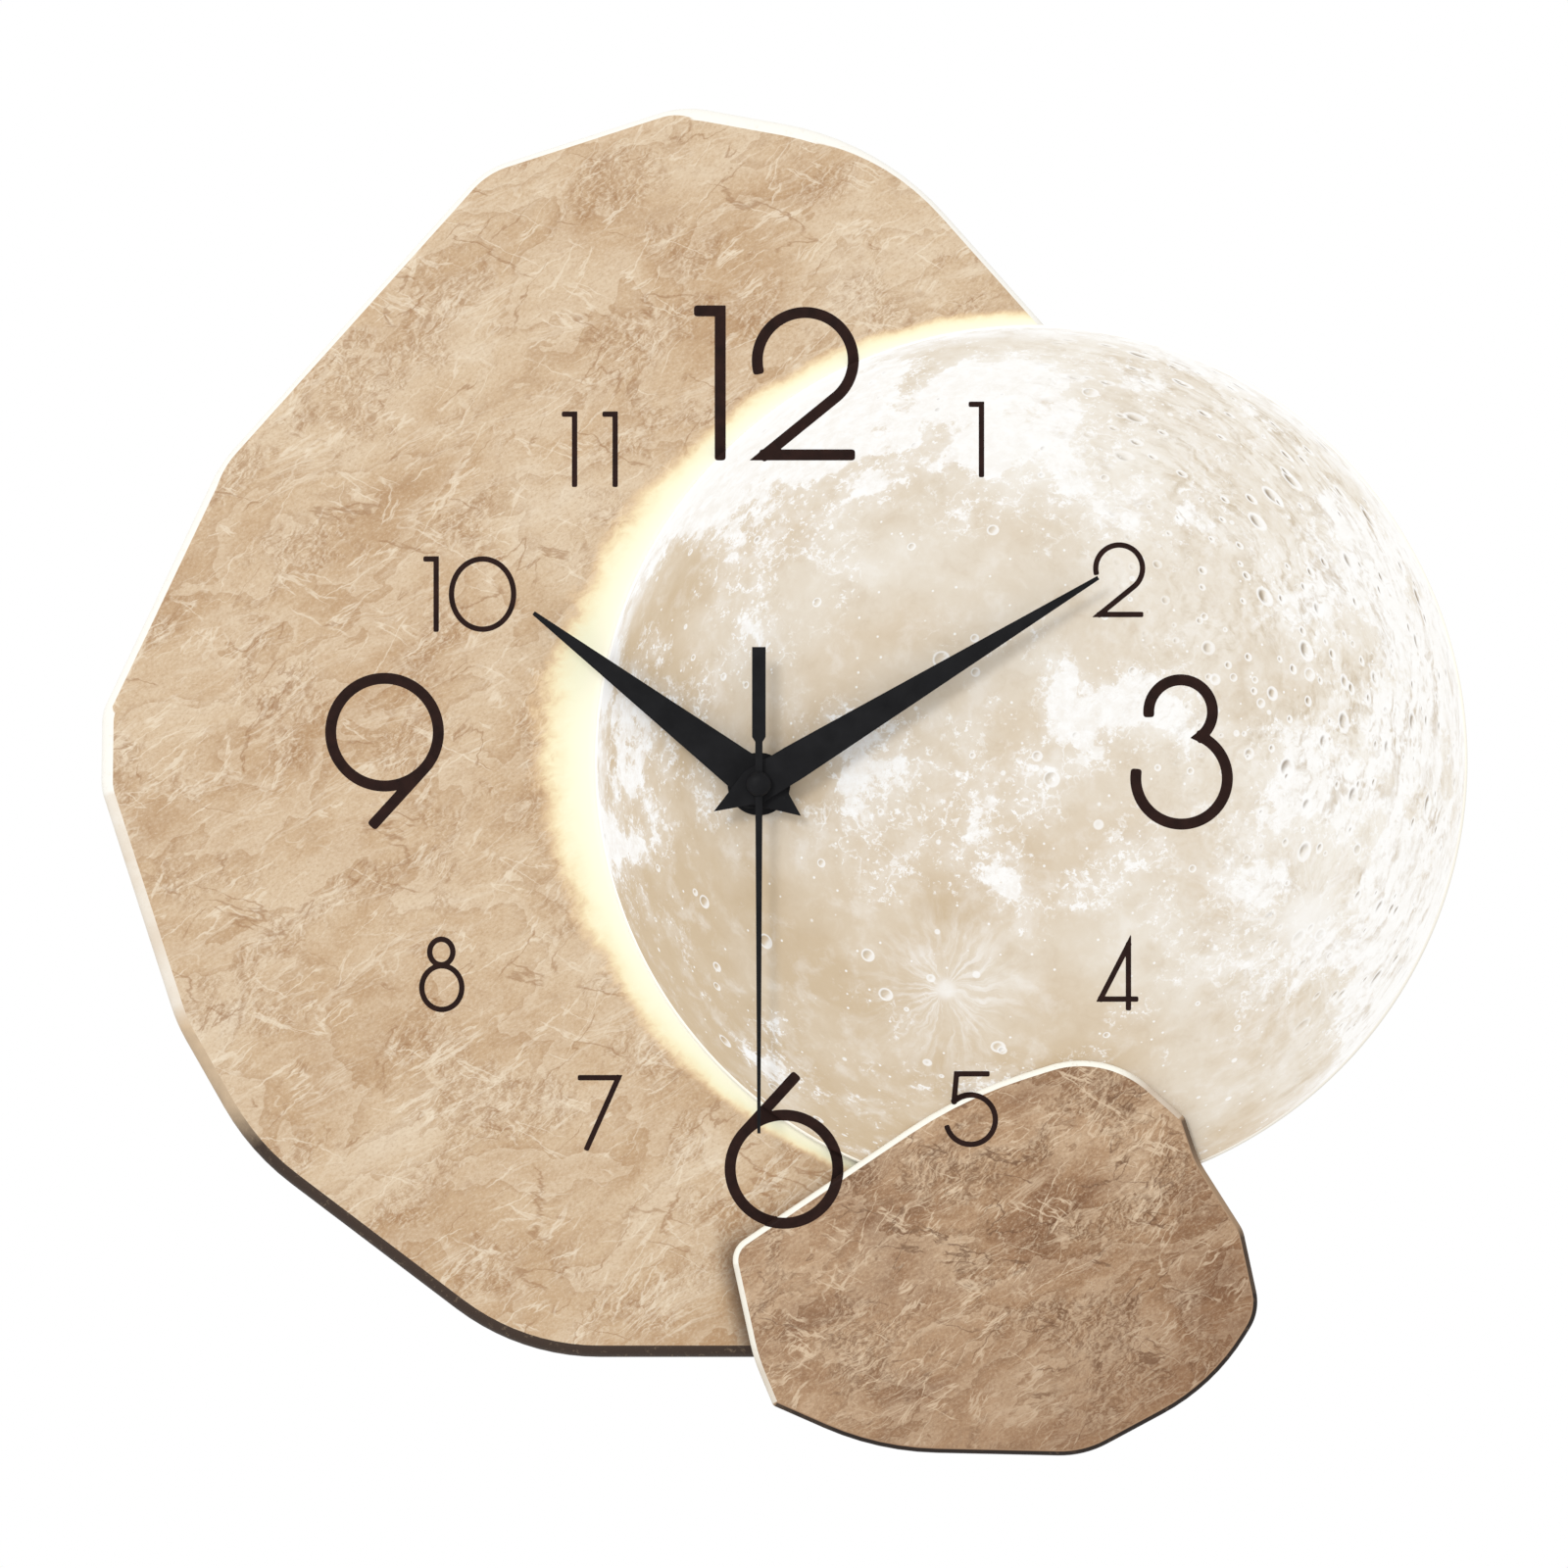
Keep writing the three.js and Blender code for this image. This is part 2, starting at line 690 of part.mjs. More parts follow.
function addCover() {
  const low = dividerBottom + fitGap;
  const panel = roundedBox(low, caseTop, 0, coverThickness);
  const lugFront = coverThickness + coverLugDepth;
  const lugHalf = coverLugLength / 2;
  const lugOuter = roomTop - fitGap;
  const topLug = box(-lugHalf, lugHalf, lugOuter - coverLugThickness, lugOuter, 1, lugFront);
  const sideOuter = roomHalfWidth - fitGap;
  const sideLug = box(sideOuter - coverLugThickness, sideOuter, -lugHalf, lugHalf, 1, lugFront);
  const knobHole = disc(
    knobRadius + fitGap,
    -overshoot,
    coverThickness + overshoot,
    knobAxis.x,
    knobAxis.y,
  );
  const pivots = [handAxis, thirdAxis, intermediateAxis, rotorAxis].map((axis) =>
    pivotHole(axis, coverThickness - pivotDepth - pivotClearance, coverThickness + overshoot),
  );
  add('movement_cover', 'blackPlastic', cut(join(panel, topLug, sideLug), knobHole, ...pivots));
}

// Battery and contacts

function addBattery() {
  const radius = batteryDiameter / 2;
  const y = (dividerBottom + bayBottom) / 2;
  const z = batteryRearGap + radius;
  const shoulder = batterySpan / 2 - batteryNubLength;
  const cell = turned([
    [0, batterySpan / 2],
    [batteryNubRadius, batterySpan / 2],
    [batteryNubRadius, shoulder],
    [radius, shoulder],
    [radius, -batterySpan / 2],
    [0, -batterySpan / 2],
  ]);
  add('battery', 'batterySleeve', cell.rotateY(Math.PI / 2).translate(0, y, z));
}

function addContacts() {
  const outer = roomHalfWidth - contactGap;
  const inner = outer - contactThickness;
  const bayLow = bayBottom + contactGap;
  const bayHigh = dividerBottom - contactGap;
  const plateBack = batteryRearGap + contactGap;
  const plateFront = level.floor - contactGap;
  const stripBack = coverThickness + 2 * seatGap + boardThickness + contactGap;
  const stripFront = stripBack + contactHeight;
  const negativePlate = box(-outer, -inner, bayLow, bayHigh, plateBack, plateFront);
  const negativeTail = box(-outer, -inner, bayHigh - overshoot, stripTop, stripBack, stripFront);
  add('battery_contact_negative', 'steel', join(negativePlate, negativeTail));
  const positivePlate = box(inner, outer, bayLow, bayHigh, plateBack, plateFront);
  const positiveTail = box(inner, outer, bayHigh - overshoot, stripTop, stripBack, stripFront);
  const stripLeft = thirdAxis.x - thirdTip - roomClearance - contactHeight;
  const strip = box(stripLeft, outer, stripBottom, stripTop, stripBack, stripFront);
  add('battery_contact_positive', 'steel', join(positivePlate, positiveTail, strip));
}

// Circuit board on the inside of the cover

function addCircuit() {
  const left = -roomHalfWidth + fitGap;
  const right = thirdAxis.x - thirdTip - roomClearance;
  const middle = (left + right) / 2;
  const low = stripBottom;
  const back = coverThickness + seatGap;
  const front = back + boardThickness;
  add('circuit_board', 'greenBoard', box(left, right, low, low + boardLength, back, front));
  const chipBack = front + seatGap;
  const chip = turned([...domeProfile(chipRadius, chipBack, chipBack + chipHeight), [0, chipBack]]);
  add('chip_cover', 'blackPlastic', chip.translate(middle, low + boardLength / 2, 0));
  const crystal = new THREE.CylinderGeometry(crystalRadius, crystalRadius, crystalLength, axleSegments);
  const crystalY = low + boardLength - crystalLength / 2 - fitGap;
  crystal.translate(middle, crystalY, chipBack + crystalRadius);
  add('quartz_crystal', 'steel', crystal);
}

// Stepping motor

function addMotor() {
  const pole = disc(statorPoleRadius, statorBack, statorFront, rotorAxis.x, rotorAxis.y);
  const limbEnd = coilY + coilCoreWidth / 2;
  const neck = box(
    rotorAxis.x - statorLimbWidth / 2,
    rotorAxis.x + statorLimbWidth / 2,
    rotorAxis.y,
    limbTop,
    statorBack,
    statorFront,
  );
  const limb = box(statorLeft, statorRight, limbBottom, limbTop, statorBack, statorFront);
  const leftEnd = statorLeft + statorLimbWidth;
  const rightEnd = statorRight - statorLimbWidth;
  const leftArm = box(statorLeft, leftEnd, limbBottom, limbEnd, statorBack, statorFront);
  const rightArm = box(rightEnd, statorRight, limbBottom, limbEnd, statorBack, statorFront);
  const holeBack = statorBack - overshoot;
  const holeFront = coreFront + overshoot;
  const pinHoleRadius = motorPinRadius + pivotClearance;
  const rotorHole = disc(statorBore, holeBack, holeFront, rotorAxis.x, rotorAxis.y);
  const pinHoles = motorPosts.map((x) =>
    disc(pinHoleRadius, holeBack, holeFront, x, coilY, axleSegments),
  );
  add('stator', 'steel', cut(join(pole, neck, limb, leftArm, rightArm), rotorHole, ...pinHoles));
  const coreLow = coilY - coilCoreWidth / 2;
  const core = box(statorLeft, statorRight, coreLow, limbEnd, coreBack, coreFront);
  add('coil_core', 'steel', cut(core, ...pinHoles));
  addCoil();
}

function addCoil() {
  const boreHalfWidth = coilCoreWidth / 2 + fitGap;
  const boreHalfDepth = coilCoreThickness / 2 + fitGap;
  const tubeHalfWidth = boreHalfWidth + bobbinWall;
  const tubeHalfDepth = boreHalfDepth + bobbinWall;
  const flange = bobbinFlangeHalfWidth;
  const lengthwise = (left, right, halfWidth, halfDepth) =>
    box(
      left,
      right,
      coilY - halfWidth,
      coilY + halfWidth,
      coreMiddle - halfDepth,
      coreMiddle + halfDepth,
    );
  const bobbin = join(
    lengthwise(coilLeft, coilRight, tubeHalfWidth, tubeHalfDepth),
    lengthwise(coilLeft, coilLeft + bobbinFlangeThickness, flange, flange),
    lengthwise(coilRight - bobbinFlangeThickness, coilRight, flange, flange),
  );
  const coreHole = lengthwise(coilLeft - overshoot, coilRight + overshoot, boreHalfWidth, boreHalfDepth);
  add('coil_bobbin', 'whitePlastic', cut(bobbin, coreHole));
  const windingLength = coilLength - 2 * (bobbinFlangeThickness + seatGap);
  const winding = disc(coilRadius, -windingLength / 2, windingLength / 2);
  winding.rotateY(Math.PI / 2).translate((coilLeft + coilRight) / 2, coilY, coreMiddle);
  const tubeHole = lengthwise(coilLeft, coilRight, tubeHalfWidth + seatGap, tubeHalfDepth + seatGap);
  add('coil_winding', 'copper', cut(winding, tubeHole));
}

// Wheels

function axle(axis, back, front, radius = axleRadius) {
  return disc(radius, back, front, axis.x, axis.y, axleSegments);
}

const rearPivot = coverThickness - pivotDepth;
const frontPivot = level.floor + pivotDepth;

function addRotor(phase) {
  const { x, y } = rotorAxis;
  const back = level.intermediate - pinionOverlap;
  const pinion = gear(rotorPinionTeeth, rotorModule, phase, back, rotorPinionFront, x, y);
  add('rotor_pinion', 'whitePlastic', join(pinion, axle(rotorAxis, rearPivot, frontPivot)));
  const bore = axleRadius + pivotClearance;
  const magnet = ring(rotorMagnetRadius, bore, rotorMagnetBack, rotorMagnetBack + rotorMagnetLength);
  add('rotor_magnet', 'steel', magnet.translate(x, y, 0));
}

function addIntermediateWheel(wheelPhase, pinionPhase) {
  const { x, y } = intermediateAxis;
  const back = level.intermediate;
  const pinionFront = level.second + wheelThickness + pinionOverlap;
  const wheel = gear(intermediateWheelTeeth, rotorModule, wheelPhase, back, back + wheelThickness, x, y);
  const pinion = gear(intermediatePinionTeeth, secondModule, pinionPhase, back, pinionFront, x, y);
  const shaft = axle(intermediateAxis, rearPivot, frontPivot);
  add('intermediate_wheel', 'whitePlastic', join(wheel, pinion, shaft));
}

function addSecondWheel(wheelPhase, pinionPhase) {
  const back = level.second;
  const pinionFront = level.third + wheelThickness + pinionOverlap;
  const wheel = gear(secondWheelTeeth, secondModule, wheelPhase, back, back + wheelThickness, 0, 0);
  const pinion = gear(secondPinionTeeth, thirdModule, pinionPhase, back, pinionFront, 0, 0);
  const pivot = axle(handAxis, rearPivot, level.second + wheelThickness / 2);
  const arbor = axle(handAxis, level.second, level.arborFront, secondArborRadius);
  add('second_wheel', 'whitePlastic', join(wheel, pinion, pivot, arbor));
}

function addThirdWheel(wheelPhase, pinionPhase) {
  const { x, y } = thirdAxis;
  const back = level.third;
  const pinionFront = level.centre + wheelThickness + pinionOverlap;
  const wheel = gear(thirdWheelTeeth, thirdModule, wheelPhase, back, back + wheelThickness, x, y);
  const pinion = gear(thirdPinionTeeth, centreModule, pinionPhase, back, pinionFront, x, y);
  const shaft = axle(thirdAxis, rearPivot, frontPivot);
  add('third_wheel', 'whitePlastic', join(wheel, pinion, shaft));
}

// A ring that grips the cannon pinion, so that the hands can be set past the train
function addCentreWheel(phase) {
  const front = level.centre + wheelThickness;
  const wheel = gear(centreWheelTeeth, centreModule, phase, level.centre, front, 0, 0);
  const bore = disc(cannonRadius + tubeClearance, level.centre - overshoot, front + overshoot);
  add('centre_wheel', 'brass', cut(wheel, bore));
}

function addCannonPinion(phase) {
  const back = level.minute - pinionOverlap;
  const front = level.minute + wheelThickness + pinionOverlap;
  const pinion = gear(cannonPinionTeeth, minuteModule, phase, back, front, 0, 0);
  const tubeBack = level.centre - pinionOverlap;
  const tube = disc(cannonRadius, tubeBack, level.cannonFront);
  const bore = disc(cannonBore, tubeBack - overshoot, level.cannonFront + overshoot);
  add('cannon_pinion', 'brass', cut(join(pinion, tube), bore));
}

function addMinuteWheel(wheelPhase, pinionPhase) {
  const { x, y } = minuteWheelAxis;
  const back = level.minute;
  const pinionFront = level.hour + wheelThickness + pinionOverlap;
  const wheel = gear(minuteWheelTeeth, minuteModule, wheelPhase, back, back + wheelThickness, x, y);
  const pinion = gear(minutePinionTeeth, hourModule, pinionPhase, back, pinionFront, x, y);
  const boreRadius = minutePostRadius + pivotClearance;
  const bore = axle(minuteWheelAxis, back - overshoot, pinionFront + overshoot, boreRadius);
  add('minute_wheel', 'whitePlastic', cut(join(wheel, pinion), bore));
}

function addHourWheel(phase) {
  const front = level.hour + wheelThickness;
  const wheel = gear(hourWheelTeeth, hourModule, phase, level.hour, front, 0, 0);
  const tube = disc(hourTubeRadius, level.hour, level.hourTubeFront);
  const bore = disc(hourBore, level.hour - overshoot, level.hourTubeFront + overshoot);
  add('hour_wheel', 'whitePlastic', cut(join(wheel, tube), bore));
}

function addSettingKnob(phase) {
  const { x, y } = knobAxis;
  const grip = [];
  for (let tooth = 0; tooth < 2 * knobGripTeeth; tooth += 1) {
    const angle = (tooth / knobGripTeeth) * Math.PI;
    const radius = knobRadius - (tooth % 2) * knobGripDepth;
    grip.push(new THREE.Vector2(x + radius * Math.cos(angle), y + radius * Math.sin(angle)));
  }
  const head = plate(new THREE.Shape(grip), knobRecess, knobRecess + knobThickness);
  const back = level.minute - pinionOverlap;
  const front = level.minute + wheelThickness + pinionOverlap;
  const pinion = gear(knobPinionTeeth, knobModule, phase, back, front, x, y);
  const shaft = axle(knobAxis, knobRecess + knobThickness / 2, front, knobShaftRadius);
  const pivot = axle(knobAxis, level.minute, frontPivot);
  add('setting_knob', 'blackPlastic', join(head, pinion, shaft, pivot));
}

function addWheels() {
  const rotorPhase = 0;
  const intermediateWheelPhase = meshingPhase(
    rotorPinionTeeth,
    rotorPhase,
    intermediateWheelTeeth,
    rotorDirection + 180,
  );
  addRotor(rotorPhase);
  const secondPinionPhase = 0;
  const secondWheelPhase = 0;
  const intermediatePinionPhase = meshingPhase(
    secondWheelTeeth,
    secondWheelPhase,
    intermediatePinionTeeth,
    intermediateDirection,
  );
  addIntermediateWheel(intermediateWheelPhase, intermediatePinionPhase);
  addSecondWheel(secondWheelPhase, secondPinionPhase);
  const thirdWheelPhase = meshingPhase(
    secondPinionTeeth,
    secondPinionPhase,
    thirdWheelTeeth,
    thirdDirection,
  );
  const centrePhase = 0;
  const thirdPinionPhase = meshingPhase(centreWheelTeeth, centrePhase, thirdPinionTeeth, thirdDirection);
  addThirdWheel(thirdWheelPhase, thirdPinionPhase);
  addCentreWheel(centrePhase);
  const cannonPhase = 0;
  const minuteWheelPhase = meshingPhase(
    cannonPinionTeeth,
    cannonPhase,
    minuteWheelTeeth,
    minuteWheelDirection,
  );
  addCannonPinion(cannonPhase);
  const hourPhase = 0;
  const minutePinionPhase = meshingPhase(
    hourWheelTeeth,
    hourPhase,
    minutePinionTeeth,
    minuteWheelDirection,
  );
  addMinuteWheel(minuteWheelPhase, minutePinionPhase);
  addHourWheel(hourPhase);
  addSettingKnob(meshingPhase(minuteWheelTeeth, minuteWheelPhase, knobPinionTeeth, knobDirection));
}

// Hands

// A kite with a short tail: its two sides run from the tail tip to the blunt front tip.
function kite(length, tailLength, halfWidth, frontShoulder) {
  const side = [
    [0, -tailLength],
    [halfWidth, -rearShoulder],
    [halfWidth, frontShoulder],
    [handTipHalfWidth, length],
  ];
  const right = side.map(([x, y]) => new THREE.Vector2(x, y));
  const left = side.slice(1).map(([x, y]) => new THREE.Vector2(-x, y));
  return new THREE.Shape([...right, ...left.reverse()]);
}

function addHandWithCollet(name, shape, angle, tubeRadius, colletBack, handBack) {
  const colletBore = tubeRadius + seatGap;
  const colletRadius = colletBore + colletWall;
  const handFront = handBack + handThickness;
  const blade = plate(shape, handBack, handFront);
  const hole = disc(colletRadius + seatGap, handBack - overshoot, handFront + overshoot);
  add(name, 'blackMetal', cut(blade, hole).rotateZ(-degrees(angle)));
  const flangeRadius = colletRadius + colletFlangeWidth;
  const flangeFront = handBack - seatGap;
  const collet = turned([
    [colletBore, handFront],
    [colletRadius, handFront],
    [colletRadius, flangeFront],
    [flangeRadius, flangeFront],
    [flangeRadius, colletBack],
    [colletBore, colletBack],
    [colletBore, handFront],
  ]);
  add(`${name}_collet`, 'blackMetal', collet);
}

function addSecondHand() {
  const stemRadius = secondArborRadius + seatGap + colletWall;
  const back = level.secondHand;
  const front = back + handThickness;
  const shoulder = secondNeckLength + secondShoulderLength;
  const right = [
    [secondTipHalfWidth, secondLength],
    [secondNeckHalfWidth, 0],
    [secondNeckHalfWidth, -secondNeckLength],
    [secondTailHalfWidth, -shoulder],
    [secondTailHalfWidth, -secondTailLength],
  ].map(([x, y]) => new THREE.Vector2(x, y));
  const left = right.map((point) => new THREE.Vector2(-point.x, point.y)).reverse();
  const blade = plate(new THREE.Shape([...left, ...right]), back, front);
  const hub = disc(secondDomeRadius, back, front);
  const hole = disc(stemRadius + seatGap, back - overshoot, front + overshoot);
  add('second_hand', 'blackMetal', cut(join(blade, hub), hole).rotateZ(-degrees(secondAngle)));
  const bore = secondArborRadius + seatGap;
  const domeBack = front + seatGap;
  const boreFront = level.arborFront + seatGap;
  const domeFront = Math.max(domeBack + secondDomeHeight, boreFront + colletWall);
  const stemBack = level.cannonFront + fitGap;
  const boss = turned([
    ...domeProfile(secondDomeRadius, domeBack, domeFront),
    [stemRadius, domeBack],
    [stemRadius, stemBack],
    [bore, stemBack],
    [bore, boreFront],
    [0, boreFront],
  ]);
  add('second_hand_boss', 'blackMetal', boss);
}

function addHands() {
  const hourShape = kite(hourLength, hourTailLength, hourHalfWidth, hourFrontShoulder);
  const minuteShape = kite(minuteLength, minuteTailLength, minuteHalfWidth, minuteFrontShoulder);
  const hourCollet = level.hourCollet;
  addHandWithCollet('hour_hand', hourShape, hourAngle, hourTubeRadius, hourCollet, level.hourHand);
  const minuteCollet = level.minuteCollet;
  addHandWithCollet('minute_hand', minuteShape, minuteAngle, cannonRadius, minuteCollet, level.minuteHand);
  addSecondHand();
}

addBoards();
addPackingBlock();
addClampStack();
addHanger();
addCase();
addCover();
addBattery();
addContacts();
addCircuit();
addMotor();
addWheels();
addHands();

clock.rotation.x = Math.PI / 2;

export default clock;
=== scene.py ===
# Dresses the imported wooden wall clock: printed boards, inked numbers, hands and movement.
# Metres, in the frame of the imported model: the viewer stands at -Y, the wall is at +Y,
# +X is right and +Z is up. Sizes are named in millimetres. Depth is counted from the wall
# towards the viewer, so depth is -Y.

import cmath
import json
import math

import bmesh
import bpy
import numpy as np
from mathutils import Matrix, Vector

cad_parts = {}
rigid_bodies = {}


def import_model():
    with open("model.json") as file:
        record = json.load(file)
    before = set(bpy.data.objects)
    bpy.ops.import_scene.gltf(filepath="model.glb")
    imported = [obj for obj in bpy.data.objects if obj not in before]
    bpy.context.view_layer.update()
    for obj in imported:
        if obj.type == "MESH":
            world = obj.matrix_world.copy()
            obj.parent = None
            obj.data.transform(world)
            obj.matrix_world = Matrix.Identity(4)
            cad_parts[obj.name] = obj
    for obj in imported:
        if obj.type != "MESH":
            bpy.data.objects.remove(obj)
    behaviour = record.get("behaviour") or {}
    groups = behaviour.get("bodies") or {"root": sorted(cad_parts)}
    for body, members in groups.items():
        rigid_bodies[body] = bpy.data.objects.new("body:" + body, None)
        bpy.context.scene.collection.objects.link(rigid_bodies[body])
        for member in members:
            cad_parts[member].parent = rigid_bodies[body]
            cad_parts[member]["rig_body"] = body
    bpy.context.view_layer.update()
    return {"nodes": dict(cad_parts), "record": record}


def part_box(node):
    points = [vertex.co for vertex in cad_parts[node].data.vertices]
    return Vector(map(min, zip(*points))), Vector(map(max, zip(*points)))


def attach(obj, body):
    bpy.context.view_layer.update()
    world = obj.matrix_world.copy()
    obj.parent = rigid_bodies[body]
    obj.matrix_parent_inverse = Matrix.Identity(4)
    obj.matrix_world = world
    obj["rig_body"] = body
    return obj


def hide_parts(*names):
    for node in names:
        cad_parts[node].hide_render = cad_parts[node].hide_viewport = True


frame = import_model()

MM = 0.001
QUARTER = math.pi / 2
node_slot = {entry["node"]: entry["material_slot"] for entry in frame["record"]["subparts"]}

# Boards: each corner is x, z and corner radius, measured from the axis of the hands
BASE_STONE_CORNERS = [
    (-16.7, 149.0, 21.5), (26.6, 141.2, 62), (89.4, 70.8, 40), (102.4, 21.5, 80),
    (99.1, -38.7, 80), (87.3, -92.5, 60), (72.2, -125.9, 15), (-52.5, -125.9, 52),
    (-111.9, -80.9, 55), (-127.9, -52.7, 40), (-144.5, -1.1, 12), (-144.3, 15.7, 10),
    (-118.4, 70.2, 30), (-60.2, 135.0, 18),
]
FRONT_STONE_CORNERS = [
    (-6.4, -102.0, 5.5), (44.4, -67.8, 100), (76.2, -57.8, 23), (93.3, -73.0, 3),
    (96.5, -82.6, 20), (106.2, -97.9, 8), (110.0, -115.6, 11), (99.8, -132.1, 48),
    (71.3, -147.4, 22), (26.1, -146.4, 65), (3.1, -136.3, 1.5), (-1.2, -125.9, 40),
]
MOON_X = 59.7
MOON_Z = 4.95
MOON_RADIUS = 95.8
BASE_ROUNDING = 2.6
MOON_ROUNDING = 0.6
FRONT_ROUNDING = 1.2
BACK_EDGE = 0.25
BOARD_BORE = 4.15

# Fineness of curves
ROUNDING_STEPS = 8
RING_STEPS = 4
ARC_DEGREES = 4
ARC_LEAST_STEPS = 4
MOON_SEGMENTS = 256
TURNED_SEGMENTS = 96
BORE_SEGMENTS = 64
WELD = 1e-7

# Glow printed round the moon: its width where it is widest, and how far above the moon's middle
# that is
GLOW_WIDTH = 13.5
GLOW_RISE = 5.0

# Light: how bright the dial is lit compared with the white surroundings
DIAL_LIGHT = 1.2


# Colours


def linear(level):
    share = level / 255
    if share <= 0.04045:
        return share / 12.92
    return ((share + 0.055) / 1.055) ** 2.4


# Surface colour that looks like this 0-255 colour under the light on the dial
def paint(red, green, blue):
    return tuple(linear(level) / DIAL_LIGHT for level in (red, green, blue)) + (1.0,)


# Stops of a colour ramp, from rows of a position and a 0-255 colour
def tones(*rows):
    return [(position, paint(*colour)) for position, *colour in rows]


# Node materials

# Most of a noise lies between these levels
NOISE_LOW = 0.3
NOISE_HIGH = 0.7
# How far each seed moves a noise
SEED_STEP = (173.1, 91.7, 57.3)
# Roughness and specular level of a satin print
SATIN = (0.5, 0.2)

finishes = {}


class Value:
    """What a node gives out. Sums with values and numbers add math nodes."""

    def __init__(self, finish, socket):
        self.finish = finish
        self.socket = socket

    def __add__(self, other):
        return self.finish.math("ADD", self, other)

    def __sub__(self, other):
        return self.finish.math("SUBTRACT", self, other)

    def __rsub__(self, other):
        return self.finish.math("SUBTRACT", other, self)

    def __mul__(self, other):
        return self.finish.math("MULTIPLY", self, other)

    def __truediv__(self, other):
        return self.finish.math("DIVIDE", self, other)


class Finish:
    """One node material. Its place is in millimetres: x right, y up, z towards the viewer.

    Patterns lie on that place unless they are given another one.
    """

    def __init__(self, name, roughness, specular, metallic=0.0, dimensions="3D"):
        self.name = name
        self.roughness = roughness
        self.dimensions = dimensions
        self.colour = None
        self.material = bpy.data.materials.new(name)
        self.material.use_nodes = True
        self.nodes = self.material.node_tree.nodes
        self.shader = self.nodes["Principled BSDF"]
        gloss = {"Roughness": roughness, "Specular IOR Level": specular, "Metallic": metallic}
        self.feed(self.shader, gloss)
        self.place = self.give("Mapping", "Vector", {
            "Vector": self.give("TexCoord", "Object", {}),
            "Rotation": (-QUARTER, 0, 0),
            "Scale": (1 / MM, 1 / MM, 1 / MM),
        })

    # Links values to a node's sockets and sets constants on them
    def feed(self, node, inputs):
        for name, value in inputs.items():
            if isinstance(value, Value):
                self.material.node_tree.links.new(value.socket, node.inputs[name])
            else:
                node.inputs[name].default_value = value

    def add(self, kind, inputs, **settings):
        node = self.nodes.new("ShaderNode" + kind)
        for name, value in settings.items():
            setattr(node, name, value)
        self.feed(node, inputs)
        return node

    # What one output of a new node gives
    def give(self, kind, output, inputs, **settings):
        return Value(self, self.add(kind, inputs, **settings).outputs[output])

    def math(self, operation, first, second=0.0):
        return self.give("Math", "Value", {0: first, 1: second}, operation=operation)

    def vector(self, operation, first, second=(0, 0, 0), output="Vector"):
        return self.give("VectorMath", output, {0: first, 1: second}, operation=operation)

    # From 0 at low to 1 at high, with soft ends
    def step(self, value, low, high):
        inputs = {"Value": value, "From Min": low, "From Max": high}
        return self.give("MapRange", "Result", inputs, interpolation_type="SMOOTHSTEP")

    # Spread evenly from low..high to new_low..new_high
    def spread(self, value, low, high, new_low=0.0, new_high=1.0):
        inputs = {"Value": value, "From Min": low, "From Max": high}
        return self.give("MapRange", "Result", {**inputs, "To Min": new_low, "To Max": new_high})

    # A noise spread to both sides of a middle
    def sway(self, noise, amount, middle=0.0):
        return self.spread(noise, NOISE_LOW, NOISE_HIGH, middle - amount, middle + amount)

    def ramp(self, value, stops):
        node = self.add("ValToRGB", {"Fac": value})
        elements = node.color_ramp.elements
        elements[0].position, elements[0].color = stops[0]
        elements[1].position, elements[1].color = stops[-1]
        for position, colour in stops[1:-1]:
            elements.new(position).color = colour
        return Value(self, node.outputs["Color"])

    def two_tone(self, noise, low, high):
        self.colour = self.ramp(noise, ((NOISE_LOW, low), (NOISE_HIGH, high)))

    # Lays a tint over the colour so far, by a share
    def lay(self, tint, share):
        inputs = {0: share, 6: self.colour, 7: tint}
        self.colour = self.give("Mix", 2, inputs, data_type="RGBA")

    def noise(self, size, detail, roughness, seed, place=None, output="Fac"):
        offset = [seed * step for step in SEED_STEP]
        moved = self.vector("ADD", place or self.place, offset)
        inputs = {"Vector": moved, "Scale": 1 / size, "Detail": detail, "Roughness": roughness}
        return self.give("TexNoise", output, inputs, noise_dimensions=self.dimensions)

    # Bends a pattern: moves the place by up to about half of amount
    def warped(self, size, amount, seed, place=None):
        wander = self.noise(size, 4.0, 0.55, seed, place, "Color")
        centred = self.vector("SUBTRACT", wander, (0.5, 0.5, 0.5))
        scaled = self.vector("MULTIPLY", centred, (amount, amount, amount))
        return self.vector("ADD", place or self.place, scaled)

    # Stretches a pattern along a line that rises to the right by this angle
    def slanted(self, angle, stretch, place=None):
        turn = {"Rotation": (0, 0, math.radians(angle)), "Scale": (stretch, 1, 1)}
        inputs = {"Vector": place or self.place, **turn}
        return self.give("Mapping", "Vector", inputs, vector_type="TEXTURE")

    # Light and shade of a crumpled surface lit from the upper left, from -1 to 1
    def relief(self, size, shift, detail, roughness, seed, gain, place):
        here = self.noise(size, detail, roughness, seed, place)
        beside = self.vector("ADD", place, (shift, -shift, 0.0))
        there = self.noise(size, detail, roughness, seed, beside)
        return (there - here) * gain

    # Lightens the colour where a relief is above nought and darkens it where it is below
    def carve(self, relief, light, dark, most):
        for side, tint in ((relief, light), (relief * -1.0, dark)):
            self.lay(tint, self.math("MINIMUM", self.math("MAXIMUM", side, 0.0), most))

    # Thin lines where a noise crosses its middle
    def veins(self, size, width, seed, detail, place):
        height = self.noise(size, detail, 0.5, seed, place)
        return 1.0 - self.step(self.math("ABSOLUTE", height - 0.5), 0.0, width)

